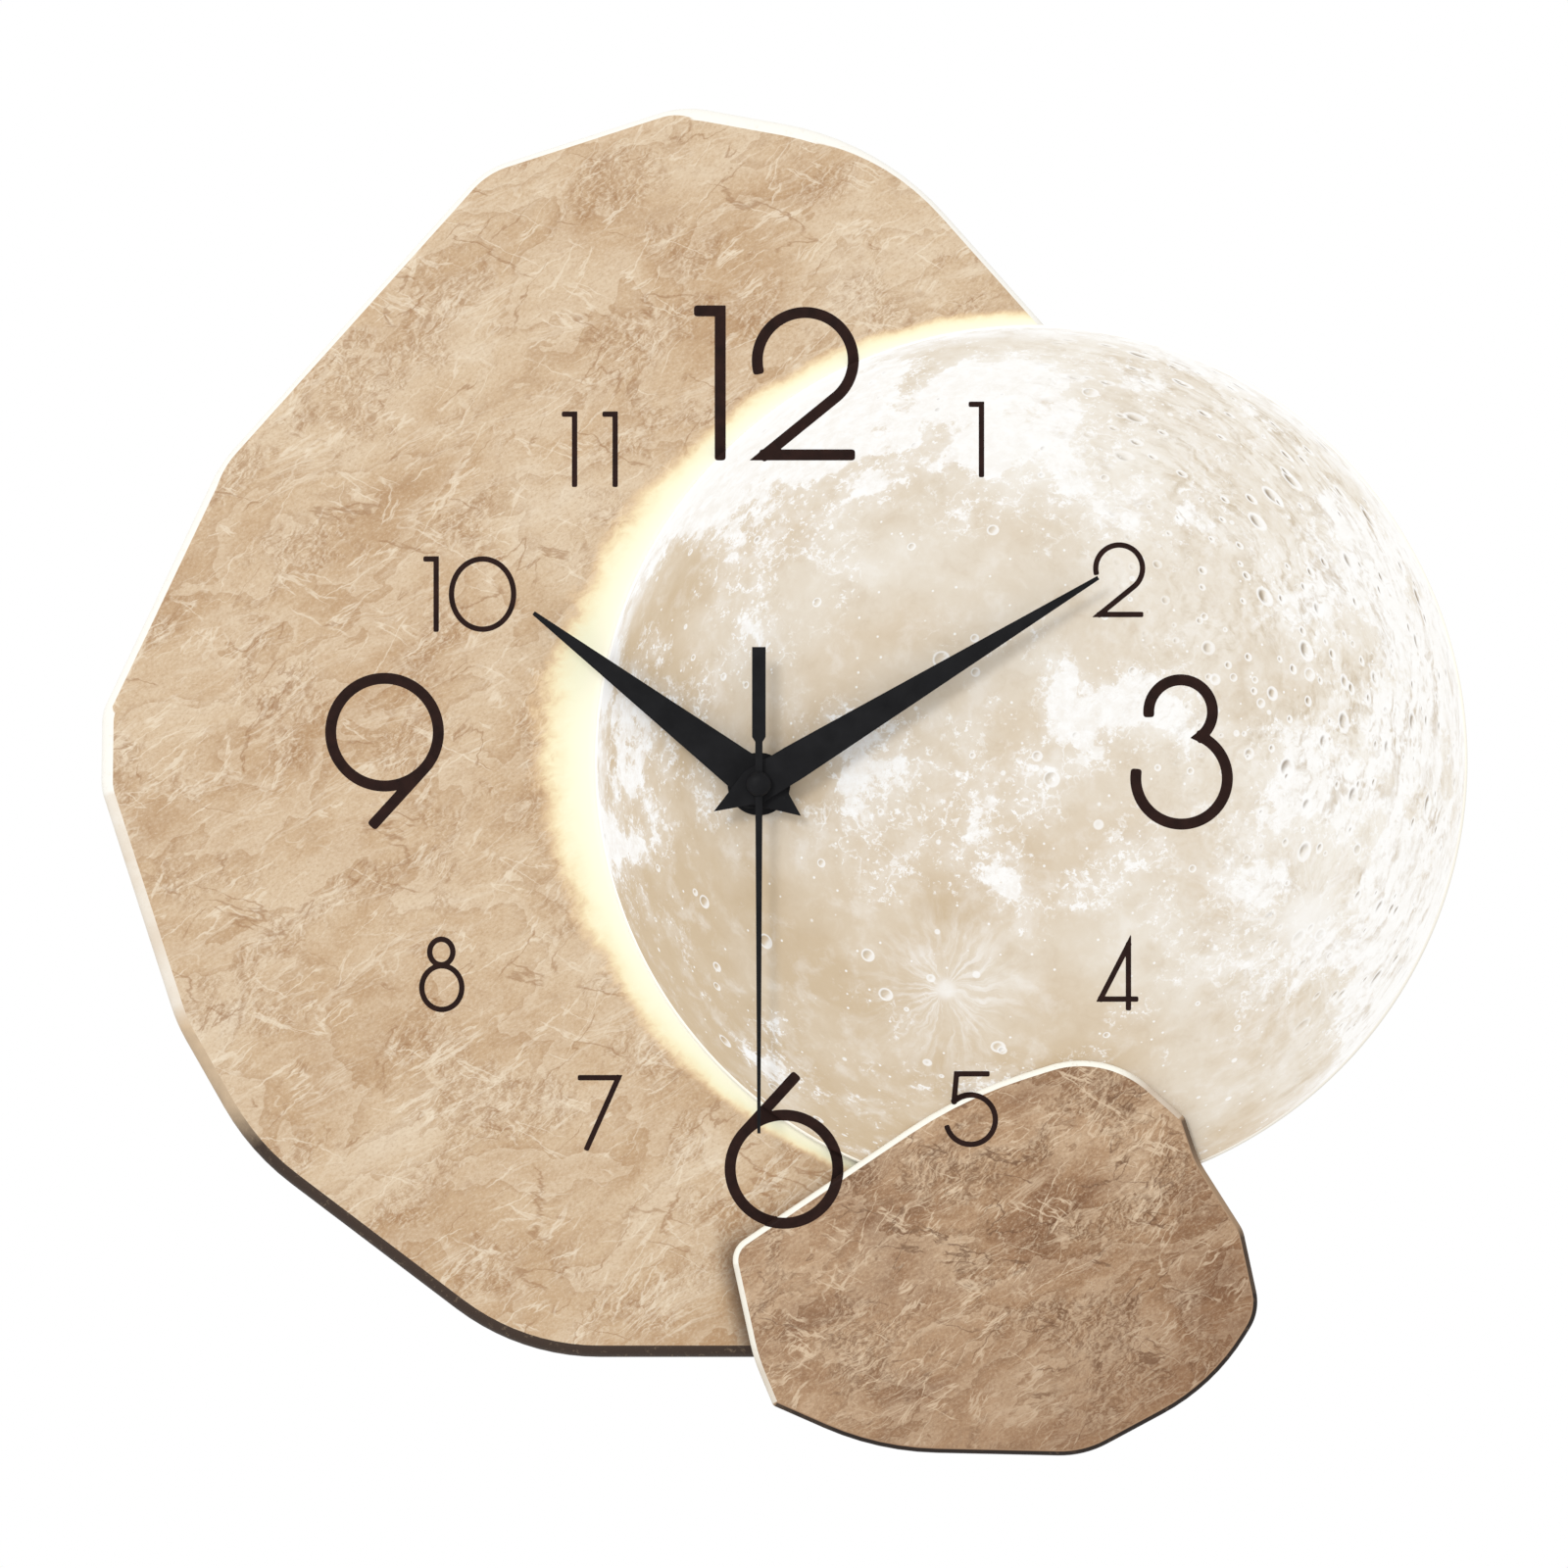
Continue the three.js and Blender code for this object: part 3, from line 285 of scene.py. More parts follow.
    # Scattered cells: all that their node gives, by the names of its outputs
    def cells(self, place, size, dimensions, feature="F1", randomness=1.0):
        inputs = {"Vector": place, "Scale": 1 / size, "Randomness": randomness}
        node = self.add("TexVoronoi", inputs, voronoi_dimensions=dimensions, feature=feature)
        return {output.name: Value(self, output) for output in node.outputs}

    def parts(self, value):
        return [Value(self, output) for output in self.add("SeparateXYZ", {0: value}).outputs]

    def joined(self, *parts):
        return self.give("CombineXYZ", "Vector", dict(enumerate(parts)))

    # Distance in the dial plane from a point
    def distance(self, x, y):
        across, up, _ = self.parts(self.place)
        across = across - x
        up = up - y
        return self.math("SQRT", across * across + up * up)

    def normal(self):
        return self.give("NewGeometry", "Normal", {})

    # How far a surface looks away from the viewer, from -1 to 1
    def away(self):
        return self.parts(self.normal())[1]

    # How far the side of a board looks along a direction in the dial plane, from -1 to 1
    def facing(self, right, up):
        flat = self.vector("NORMALIZE", self.vector("MULTIPLY", self.normal(), (1, 0, 1)))
        return self.vector("DOT_PRODUCT", flat, (right, 0, up), "Value")

    # Ends a material: its gloss varies with a noise, and a height makes its fine relief
    def skin(self, noise, amount, height=None, strength=0.0, depth=0.0):
        inputs = {"Base Color": self.colour, "Roughness": self.sway(noise, amount, self.roughness)}
        if height:
            bump = {"Strength": strength, "Distance": depth * MM, "Height": height}
            inputs["Normal"] = self.give("Bump", "Normal", bump)
        self.feed(self.shader, inputs)
        finishes[self.name] = self.material


# Satin print on fibreboard: a little unevenness in gloss and a fine orange peel
def print_skin(f):
    f.skin(f.noise(18, 4.0, 0.6, 41), 0.07, f.noise(0.9, 3.0, 0.6, 40), 0.12, 0.05)


# Clouded stone with soft layers, fine grain, crackled patches, bundles of fibres and thin veins
def stone(f, seed, ground, pale, brown, scale, contrast):
    def draw(tint, share, amount):
        f.lay(tint, share * (amount * contrast))

    swirl = f.warped(34 * scale, 20 * scale, seed + 1)
    clouds = f.noise(22 * scale, 6.0, 0.6, seed + 2, f.slanted(25, 2.0, swirl))
    f.colour = f.ramp(clouds, ground)

    # Layers: soft steps that each end in a pale lip with a brown line under it
    layer = f.noise(40 * scale, 5.0, 0.52, seed + 30, f.slanted(28, 2.2, swirl))
    layer = f.math("FRACT", layer * 8.0)
    draw(pale, f.step(layer, 0.4, 1.0), 0.34)
    draw(brown, f.step(layer, 0.3, 0.0), 0.34)

    # Grain: soft streaks with fine grit over them
    bent = f.warped(8, 5, seed + 3)
    streaks = f.noise(1.5 * scale, 6.0, 0.74, seed + 4, f.slanted(24, 2.6, bent))
    grit = f.noise(0.55, 3.0, 0.7, seed + 26, f.slanted(30, 1.6))
    for grain, reach, lighter, darker in ((streaks, 0.26, 0.3, 0.35), (grit, 0.28, 0.5, 0.5)):
        draw(pale, f.step(grain, 0.5, 0.5 + reach), lighter)
        draw(brown, f.step(grain, 0.5, 0.5 - reach), darker)

    # Patches of crackled, browner ground
    patch = f.noise(18 * scale, 5.0, 0.58, seed + 5, f.slanted(40, 1.4, swirl))
    patch = f.step(patch, 0.50, 0.62)
    mottle = f.noise(2.6 * scale, 7.0, 0.74, seed + 6, bent)
    draw(brown, patch * f.step(mottle, 0.40, 0.62), 0.5)
    slope = f.slanted(32, 2.2, bent)
    crackle = f.relief(1.5 * scale, 0.22, 6.0, 0.70, seed + 7, 5.0 * contrast, slope)
    f.carve(crackle * f.spread(patch, 0.0, 1.0, 0.1, 0.95), pale, brown, 0.42)

    # Bundles of long pale fibres and strokes that rise to the right
    eased = f.warped(24, 6, seed + 11)
    for angle, amount, turn in ((33, 0.52, 12), (20, 0.42, 13)):
        bundle = f.noise(6 * scale, 2.0, 0.5, seed + turn, f.slanted(angle, 5.0, eased))
        fibre = f.noise(0.55 * scale, 3.0, 0.6, seed + turn + 2, f.slanted(angle, 22.0, eased))
        draw(pale, f.step(bundle, 0.60, 0.78) * f.step(fibre, 0.46, 0.64), amount)
        stroke = f.veins(2.6 * scale, 0.04, seed + turn + 4, 4.0, f.slanted(angle - 4, 16.0, eased))
        draw(pale, f.step(bundle, 0.54, 0.70) * stroke, amount)

    # Single veins and cracks, broken where they fade
    torn = f.warped(5, 2.0, seed + 16)
    for angle, stretch, size, width, detail, tint, amount, turn in (
        (34, 8.0, 10, 0.014, 7.0, pale, 1.0, 17),
        (58, 6.0, 13, 0.012, 7.0, pale, 0.9, 18),
        (-24, 6.0, 13, 0.012, 7.0, pale, 0.9, 19),
        (-12, 3.5, 22, 0.010, 7.0, brown, 0.9, 20),
        (48, 3.0, 18, 0.010, 7.0, brown, 0.9, 21),
        (30, 3.2, 15, 0.009, 4.0, pale, 0.6, 22),
        (42, 2.6, 19, 0.007, 4.0, pale, 0.6, 23),
    ):
        vein = f.veins(size * scale, width, seed + turn, detail, f.slanted(angle, stretch, torn))
        fading = f.step(f.noise(14 * scale, 2.0, 0.5, seed + turn + 10), 0.50, 0.60)
        draw(tint, vein * fading, amount)


def light_stone_colour(f):
    ground = tones(
        (0.28, 190, 155, 117), (0.42, 203, 172, 136), (0.52, 211, 183, 149),
        (0.64, 218, 193, 161), (0.78, 227, 207, 180),
    )
    stone(f, 0, ground, paint(242, 227, 203), paint(160, 118, 80), 1.0, 0.66)
    # Painted shadow of the dark stone on the light stone, beside its left edge
    across, up, _ = f.parts(f.place)
    beside = f.spread(up, -126.0, -102.0, -1.2, -6.4) - across
    shade = f.step(beside, 5.0, -0.5) * f.step(up, -94.0, -108.0)
    f.lay(paint(88, 64, 46), shade * 0.75)
    # Glow along the edge of the moon, widest on its left
    off = f.distance(MOON_X, MOON_Z) - MOON_RADIUS
    rise = f.math("ABSOLUTE", up - (MOON_Z + GLOW_RISE))
    off = off / f.spread(rise, 0.0, MOON_RADIUS, 1.2, 0.27)
    flames = f.noise(9.0, 3.0, 0.5, 51, f.warped(9, 8, 50))
    sparks = f.noise(1.6, 5.0, 0.66, 53, f.slanted(25, 2.5, f.warped(4, 4, 52)))
    off = off + (f.sway(flames, -1.4) + f.sway(sparks, -1.0)) * f.step(off, 2.0, 9.0)
    # The glow is printed. Its first stops are brighter than white paper: painted light against the shade
    # under the moon board's edge.
    glow = f.ramp(f.spread(off, 0.0, GLOW_WIDTH), tones(
        (0.0, 268, 266, 252), (0.10, 262, 259, 236), (0.36, 255, 252, 220), (0.54, 253, 243, 205),
        (0.70, 250, 228, 184), (0.85, 242, 210, 166), (1.0, 228, 194, 153),
    ))
    f.lay(glow, f.step(off, 1.08 * GLOW_WIDTH, 0.55 * GLOW_WIDTH))


def light_stone_print():
    f = Finish("light_stone_print", *SATIN, dimensions="2D")
    light_stone_colour(f)
    print_skin(f)


# The light stone's print where it runs over the rounded edge: on the upper sides, but not on the
# short one right of the peak
def light_stone_overprint(f):
    edge_colour = f.colour
    right = f.facing(1, 0)
    covered = f.step(right, 0.15, -0.3) + f.step(right, 0.2, 0.7)
    covered = covered * f.step(f.facing(0, 1), 0.2, 0.66)
    limit = f.spread(covered, 0.0, 1.0, -1.03, -0.8)
    share = f.step(f.away() - limit, 0.02, -0.02)
    f.dimensions = "2D"
    light_stone_colour(f)
    print_colour = f.colour
    f.colour = edge_colour
    f.lay(print_colour, share)


def dark_stone_print():
    f = Finish("dark_stone_print", *SATIN, dimensions="2D")
    ground = tones(
        (0.30, 131, 92, 62), (0.42, 156, 118, 85), (0.52, 172, 136, 102),
        (0.62, 185, 150, 116), (0.74, 200, 170, 138),
    )
    stone(f, 300, ground, paint(226, 202, 172), paint(108, 75, 50), 0.75, 0.85)
    # A browner fall towards the lower right, a paler lower left and a paler top
    across, up, _ = f.parts(f.place)
    f.lay(paint(132, 95, 67), f.step(across * 0.7 - up, 140.0, 205.0) * 0.42)
    f.lay(paint(204, 174, 143), f.step(across + up * 0.9, -30.0, -75.0) * 0.12)
    f.lay(paint(204, 172, 140), f.step(up, -96.0, -66.0) * 0.08)
    print_skin(f)


# Craters: returns the shares of light wall, of shaded wall and of bright rim
def craters(f, place, dimensions, size, chance, smallest, widest, line):
    cell = f.cells(place, size, dimensions)
    chosen, width, _ = f.parts(cell["Color"])
    present = f.math("LESS_THAN", chosen, chance)
    radius = f.spread(width, 0.0, 1.0, smallest, widest)
    off = cell["Distance"] * size - radius
    rim = 1.0 - f.step(f.math("ABSOLUTE", off), line * 0.3, line)
    inside = (1.0 - f.step(off, -line, line * 0.3)) * present
    lit_wall = (0.8, -0.6, 0.0)
    spoke = f.vector("SUBTRACT", place, cell["Position"])
    side = f.vector("DOT_PRODUCT", spoke, lit_wall, "Value") / radius
    return inside * f.step(side, -0.1, 0.6), inside * f.step(side, 0.1, -0.8), rim * present


# Rays around a young crater
def ray_spot(f, x, y, reach, core, seed):
    across, up, _ = f.parts(f.warped(9, 7, seed))
    angle = f.math("ARCTAN2", up - y, across - x)
    away = f.distance(x, y)
    around = f.joined(f.math("SINE", angle), f.math("COSINE", angle), away * 0.012)
    streaks = f.step(f.noise(0.16, 4.0, 0.65, seed, around), 0.42, 0.70)
    fade = 1.0 - f.step(away, core, reach)
    middle = 1.0 - f.step(away, core * 0.6, core * 2.2)
    return f.math("MAXIMUM", streaks * fade, middle)


# Soft round share: the amount in the middle, 0 at the reach
def blob(f, x, y, reach, amount):
    return (1.0 - f.step(f.distance(x, y), reach * 0.15, reach)) * amount


def moon_print():
    f = Finish("moon_print", *SATIN)
    white = paint(255, 254, 252)
    # Place on a ball that fills the moon's disc, so that its features crowd towards the edge
    across, up, _ = f.parts(f.place)
    across = across - MOON_X
    up = up - MOON_Z
    towards = f.math("MAXIMUM", MOON_RADIUS * MOON_RADIUS - (across * across + up * up), 0.0)
    ball = f.joined(across, up, f.math("SQRT", towards))
    # Tan plains, deeper towards the lower left
    tone = f.noise(30, 4.0, 0.5, 52, f.warped(20, 14, 51, ball))
    shade = f.spread(across * -0.75 + up * -0.65, -80.0, 85.0) + f.sway(tone, 0.3)
    f.colour = f.ramp(shade, tones(
        (0.0, 240, 233, 221), (0.35, 230, 219, 202), (0.7, 222, 206, 183), (1.0, 210, 189, 159),
    ))
    # Wisps over the plains
    wisp = f.noise(8, 7.0, 0.64, 69, f.warped(9, 9, 68, ball))
    f.lay(white, f.step(wisp, 0.48, 0.72) * 0.3)
    f.lay(paint(200, 177, 145), f.step(wisp, 0.5, 0.28) * 0.3)
    # Milky uplands in torn patches, held back over the plains
    broad = f.noise(42, 4.0, 0.5, 54, f.warped(45, 30, 53, ball))
    torn = f.noise(16, 10.0, 0.66, 56, f.warped(10, 7, 55, ball))
    bias = blob(f, 124.0, -28.0, 52.0, 0.55)
    for upland in ((4.0, 74.0, 40.0, 1.2), (150.0, 36.0, 56.0, 0.4)):
        bias = bias + blob(f, *upland)
    for plain in (
        (24.0, -50.0, 66.0, 0.8), (20.0, 30.0, 36.0, 0.9), (66.0, 46.0, 34.0, 0.5),
        (-22.0, -44.0, 36.0, 0.7), (-20.0, -6.0, 26.0, 0.45), (-12.0, 42.0, 26.0, 0.6),
        (114.0, -61.0, 42.0, 0.9), (68.0, -62.0, 36.0, 1.0),
    ):
        bias = bias - blob(f, *plain)
    height = broad * 0.55 + torn * 0.45 + bias * 0.10
    f.lay(white, f.step(height, 0.46, 0.61) * 0.48)
    haze = f.noise(3.5, 7.0, 0.7, 64, f.warped(4, 4, 63, ball))
    f.lay(white, f.step(height, 0.53, 0.55) * f.spread(haze, 0.4, 0.6, 0.45, 0.95))
    # White spray and threads along the torn borders
    border = f.step(height, 0.44, 0.52) * f.step(height, 0.62, 0.54)
    spray = f.step(f.noise(1.9, 5.0, 0.7, 58, f.warped(3, 3, 57, ball)), 0.56, 0.61)
    f.lay(white, spray * border * 0.85)
    threads = f.veins(13, 0.014, 60, 7.0, f.warped(7, 7, 59, ball))
    f.lay(white, threads * border * 0.6)
    # Rough ground on the right, in ridges that follow the edge
    right = f.step(across + up * 0.3, 0.0, 85.0)
    out = f.math("MINIMUM", f.distance(MOON_X, MOON_Z) / MOON_RADIUS, 1.0)
    out = f.math("ARCSINE", out) * MOON_RADIUS
    polar = f.joined(out, f.math("ARCTAN2", up, across) * (MOON_RADIUS / 2))
    ridges = f.relief(8.0, 0.7, 5.0, 0.58, 62, 7.0, f.warped(12, 14, 61, polar))
    ridges = ridges * (right * f.spread(torn, 0.4, 0.6, 0.35, 1.0))
    f.carve(ridges, white, paint(186, 164, 130), 0.6)
    # Shallow ring craters everywhere, and deep pits stretched along the right edge
    pitted = f.step(across + up * 0.35, 25.0, 60.0)
    for place, dimensions, size, chance, smallest, widest, line, depth in (
        (ball, "3D", 12.0, 0.46, 0.9, 2.0, 0.34, 0.3),
        (ball, "3D", 7.0, 0.45, 0.5, 1.0, 0.24, 0.3),
        (polar, "2D", 11.0, 0.6, 0.9, 1.9, 0.5, pitted * 0.75),
        (polar, "2D", 6.0, 0.6, 0.4, 0.9, 0.35, pitted * 0.95),
    ):
        bright, shaded, rim = craters(f, place, dimensions, size, chance, smallest, widest, line)
        shown = 0.7 if place is ball else pitted * 0.8
        f.lay(white, bright * shown)
        f.lay(white, rim * shown)
        f.lay(paint(122, 100, 70), shaded * depth)
    # White specks
    cell = f.cells(ball, 2.4, "3D")
    present = f.math("LESS_THAN", f.parts(cell["Color"])[0], 0.3)
    f.lay(white, (1.0 - f.step(cell["Distance"], 0.08, 0.17)) * present * 0.85)
    # Young craters with rays
    for young in ((121.0, -31.0, 46.0, 4.5, 65), (41.0, -45.0, 26.0, 1.6, 66)):
        f.lay(white, ray_spot(f, *young) * 0.6)
    # Bright limb, but not at the lower left
    lit_side = f.step(up + across * 0.45, -70.0, -35.0)
    edge = f.step(f.distance(MOON_X, MOON_Z), MOON_RADIUS - 4.0, MOON_RADIUS - 0.8)
    ragged = f.spread(f.noise(6, 6.0, 0.65, 67, ball), 0.35, 0.6, 0.3, 1.0)
    f.lay(white, edge * ragged * lit_side)
    print_skin(f)


# Edge coloured with painted light and shade: pale, a painted highlight, where it looks towards the
# light's side, and dark, a painted shade, on the far side. Where a face tone is given, the print runs a
# little way over the dark side.
def edge_light_and_shade(name, right, up, dark_at, pale_at, pale, middle, dark, face_tone=None, overprint=None):
    f = Finish(name, *SATIN)
    side = f.facing(right, up) + f.sway(f.noise(9, 5.0, 0.6, 70), 0.04)
    share = f.spread(side, dark_at, pale_at)
    f.colour = dark
    if face_tone:
        f.lay(face_tone, f.step(f.away(), -0.96, -0.995))
    f.lay(middle, f.spread(share, 0.0, 0.5))
    f.lay(pale, f.spread(share, 0.5, 1.0))
    fleck = f.noise(1.6, 5.0, 0.7, 71)
    f.lay(middle, f.step(fleck, 0.55, 0.75) * 0.25)
    grit = f.noise(0.5, 3.0, 0.6, 72)
    if overprint:
        overprint(f)
    f.skin(fleck, 0.08, grit, 0.2, 0.05)


def bare_fibreboard():
    f = Finish("bare_fibreboard", 0.85, 0.15)
    felt = f.noise(1.6, 7.0, 0.75, 81, f.warped(8, 6, 80))
    f.colour = f.ramp(felt, tones((0.3, 128, 92, 60), (0.5, 158, 121, 83), (0.7, 182, 146, 106)))
    f.lay(paint(146, 108, 72), f.step(f.noise(40, 5.0, 0.6, 82), 0.45, 0.65) * 0.35)
    strands = f.veins(4.0, 0.03, 84, 3.0, f.slanted(15, 2.0, f.warped(5, 6, 83)))
    f.lay(paint(194, 160, 120), strands * 0.3)
    f.skin(felt, 0.08, felt, 0.35, 0.12)


def number_ink():
    f = Finish("number_ink", 0.5, 0.08)
    tone = f.noise(3.0, 5.0, 0.6, 90)
    f.two_tone(tone, paint(32, 17, 13), paint(48, 28, 23))
    f.skin(tone, 0.06, f.noise(0.6, 3.0, 0.6, 91), 0.15, 0.02)


def black_metal():
    f = Finish("black_metal", 0.46, 0.08)
    dust = f.noise(0.35, 3.0, 0.6, 101)
    f.two_tone(f.noise(6.0, 5.0, 0.6, 100), paint(18, 18, 20), paint(30, 30, 32))
    f.lay(paint(70, 70, 72), f.step(dust, 0.62, 0.75) * 0.15)
    f.skin(dust, 0.07, dust, 0.12, 0.02)


def black_plastic():
    f = Finish("black_plastic", 0.55, 0.35)
    spark = f.noise(0.28, 3.0, 0.65, 110)
    f.two_tone(f.noise(14, 4.0, 0.6, 111, f.slanted(75, 3.0)), paint(24, 24, 25), paint(36, 36, 37))
    f.lay(paint(62, 62, 63), f.step(spark, 0.58, 0.75) * 0.25)
    f.skin(spark, 0.1, spark, 0.3, 0.03)


def rubber():
    f = Finish("rubber", 0.85, 0.2)
    grain = f.noise(0.5, 4.0, 0.6, 120)
    f.two_tone(grain, paint(22, 22, 22), paint(42, 41, 40))
    f.skin(grain, 0.07, grain, 0.3, 0.05)


def plated_steel():
    f = Finish("steel", 0.34, 0.5, 1.0)
    brush = f.noise(0.9, 4.0, 0.6, 130, f.slanted(90, 14.0))
    cloud = f.noise(9, 5.0, 0.6, 131)
    f.two_tone(brush, (0.36, 0.37, 0.39, 1), (0.56, 0.57, 0.58, 1))
    f.lay((0.47, 0.46, 0.42, 1), f.step(cloud, 0.45, 0.7) * 0.4)
    f.skin(cloud, 0.1, brush, 0.12, 0.02)


def turned_metal(name, dark, light, seed):
    f = Finish(name, 0.32, 0.5, 1.0)
    cuts = f.noise(0.4, 3.0, 0.6, seed, f.slanted(0, 6.0))
    tarnish = f.noise(4.0, 5.0, 0.65, seed + 1)
    f.two_tone(cuts, dark, light)
    f.lay(dark, f.step(tarnish, 0.52, 0.75) * 0.45)
    f.skin(tarnish, 0.1, cuts, 0.1, 0.02)


def circuit_laminate():
    f = Finish("circuit_laminate", 0.5, 0.4)
    weave = f.noise(0.4, 3.0, 0.6, 150)
    to_track = f.cells(f.place, 2.4, "2D", "DISTANCE_TO_EDGE", 0.6)["Distance"]
    f.two_tone(weave, (0.018, 0.075, 0.03, 1), (0.035, 0.12, 0.05, 1))
    f.lay((0.06, 0.2, 0.09, 1), (1.0 - f.step(to_track, 0.05, 0.09)) * 0.6)
    f.skin(weave, 0.08, weave, 0.15, 0.03)


def white_plastic():
    f = Finish("white_plastic", 0.4, 0.4)
    flow = f.noise(3.0, 5.0, 0.6, 160)
    f.two_tone(flow, (0.62, 0.60, 0.54, 1), (0.74, 0.72, 0.67, 1))
    f.skin(flow, 0.08, f.noise(0.3, 3.0, 0.6, 161), 0.12, 0.02)


# A dark sleeve with a copper band at the plus end
def battery_sleeve():
    f = Finish("battery_sleeve", 0.3, 0.45)
    band_start = 13.4
    band_full = 13.7
    film = f.noise(2.4, 4.0, 0.6, 170, f.slanted(90, 5.0))
    f.two_tone(film, (0.34, 0.17, 0.08, 1), (0.42, 0.22, 0.11, 1))
    copper_band = f.colour
    f.two_tone(film, (0.075, 0.105, 0.125, 1), (0.105, 0.14, 0.16, 1))
    f.lay(copper_band, f.step(f.parts(f.place)[0], band_start, band_full))
    f.skin(film, 0.08, film, 0.1, 0.03)


def pale_floor():
    f = Finish("pale_floor", 0.8, 0.1)
    tone = f.noise(300, 4.0, 0.5, 200)
    f.two_tone(tone, (0.76, 0.76, 0.755, 1), (0.80, 0.80, 0.795, 1))
    f.skin(tone, 0.05)


light_stone_print()
moon_print()
dark_stone_print()
bare_fibreboard()
black_metal()
turned_metal("brass", (0.42, 0.28, 0.10, 1), (0.68, 0.49, 0.22, 1), 140)
turned_metal("copper", (0.30, 0.09, 0.03, 1), (0.55, 0.20, 0.08, 1), 145)
plated_steel()
rubber()
black_plastic()
white_plastic()
circuit_laminate()
battery_sleeve()
# Painted light and shade on the board edges: painted highlights where they look up and to the left,
# painted shade where they look down and to the right
edge_light_and_shade(
    "light_stone_edge", right=-0.3, up=0.95, dark_at=-0.42, pale_at=0.1, overprint=light_stone_overprint,
    pale=paint(255, 252, 244), middle=paint(216, 190, 158), dark=paint(66, 52, 43),
)
edge_light_and_shade(
    "dark_stone_edge", right=-0.62, up=0.78, dark_at=-0.5, pale_at=0.5, face_tone=paint(168, 135, 106),
    pale=paint(255, 252, 240), middle=paint(178, 148, 118), dark=paint(44, 34, 29),
)
# The moon's edge is painted brighter than white paper, as painted light against the shade under its
# rounded edge. It is only a little darker on its far side.
edge_light_and_shade(
    "moon_edge", right=-0.6, up=0.8, dark_at=-1.4, pale_at=0.6,
    pale=paint(270, 267, 258), middle=paint(267, 262, 248), dark=paint(240, 234, 224),
)
number_ink()
pale_floor()


# Mesh helpers


def depth_range(node):
    low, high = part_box(node)
    return -high.y / MM, -low.y / MM


def at(x, depth, z):
    return Vector((x * MM, -depth * MM, z * MM))


# A finished piece: it rides on the node's body and stands for the node
def dress(piece, node, replaced=True):
    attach(piece, frame["nodes"][node]["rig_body"])
    if replaced:
        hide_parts(node)


def new_object(name, data):
    thing = bpy.data.objects.new(name, data)
    bpy.context.scene.collection.objects.link(thing)
    return thing


def mesh_object(name, shape):
    mesh = bpy.data.meshes.new(name)
    shape.to_mesh(mesh)
    shape.free()
    return new_object(name, mesh)


def new_piece(name, shape, materials, smooth_angle=40, closed=True):
    if closed:
        bmesh.ops.recalc_face_normals(shape, faces=shape.faces)
    for face in shape.faces:
        face.smooth = True
    for edge in shape.edges:
        edge.smooth = edge.calc_face_angle(math.pi) < math.radians(smooth_angle)
    piece = mesh_object(name, shape)
    for material in materials:
        piece.data.materials.append(finishes[material])
    piece.modifiers.new("even_normals", "WEIGHTED_NORMAL").keep_sharp = True
    return piece


# A dressed piece, in the finish of the node's slot unless others are given
def dressed_piece(name, node, shape, smooth_angle, materials=None):
    dress(new_piece(name, shape, materials or [node_slot[node]], smooth_angle), node)


# Pairs of neighbours round a loop
def round_loop(items):
    return zip(items, items[1:] + items[:1])


def loop_of(shape, points, depth):
    return [shape.verts.new(at(x, depth, z)) for x, z in points]


# Joins two loops by a band of faces. One of them may be a single point.
def join_loops(shape, first, second, material=0):
    if 1 in (len(first), len(second)):
        (tip,), ring = sorted((first, second), key=len)
        bands = [(tip, here, onward) for here, onward in round_loop(ring)]
    else:
        sides = zip(round_loop(first), round_loop(second))
        bands = [(a, b, d, c) for (a, b), (c, d) in sides]
    for corners in bands:
        shape.faces.new(corners).material_index = material


def join_row(shape, loops, material=0):
    for first, second in zip(loops, loops[1:]):
        join_loops(shape, first, second, material)


# Closes a flat end, leaving the bore open
def cap(shape, outer, inner, material):
    if not inner:
        shape.faces.new(outer).material_index = material
        return
    edges = [shape.edges.get(pair) for loop in (outer, inner) for pair in round_loop(loop)]
    made = bmesh.ops.triangle_fill(shape, edges=edges, use_beauty=True)
    for item in made["geom"]:
        if isinstance(item, bmesh.types.BMFace):
            item.material_index = material


def arc(radius, start, end, steps, x=0.0, z=0.0):
    angles = [start + (end - start) * step / steps for step in range(steps + 1)]
    return [(x + radius * math.cos(angle), z + radius * math.sin(angle)) for angle in angles]


def circle(radius, segments, x=0.0, z=0.0):
    return arc(radius, 0, 2 * math.pi, segments, x, z)[:-1]


# Points of a quarter round from its side to its top, as distances from where its edge would be
def quarter_round(radius, steps):
    angles = [step / steps * QUARTER for step in range(steps + 1)]
    return [(radius * (1 - math.cos(angle)), radius * (1 - math.sin(angle))) for angle in angles]


# Stacks outlines from back to front. Materials: 0 is the front face, 1 the sides, 2 the back.
def stack(layers, bore=0.0):
    shape = bmesh.new()
    loops = [loop_of(shape, points, depth) for depth, points in layers]
    join_row(shape, loops, 1)
    inner = (None, None)
    if bore:
        ring = circle(bore, BORE_SEGMENTS)
        inner = [loop_of(shape, ring, layers[end][0]) for end in (0, -1)]
        join_loops(shape, *inner, 2)
    cap(shape, loops[0], inner[0], 2)
    cap(shape, loops[-1], inner[1], 0)
    return shape


# Layers of a plate with a rounded front edge and a slightly broken back edge
def rounded_layers(outline_at, back, front, rounding, back_edge):
    layers = [(back, outline_at(back_edge)), (back + back_edge, outline_at(0.0))]
    for inset, drop in quarter_round(rounding, ROUNDING_STEPS):
        layers.append((front - drop, outline_at(inset)))
    return layers


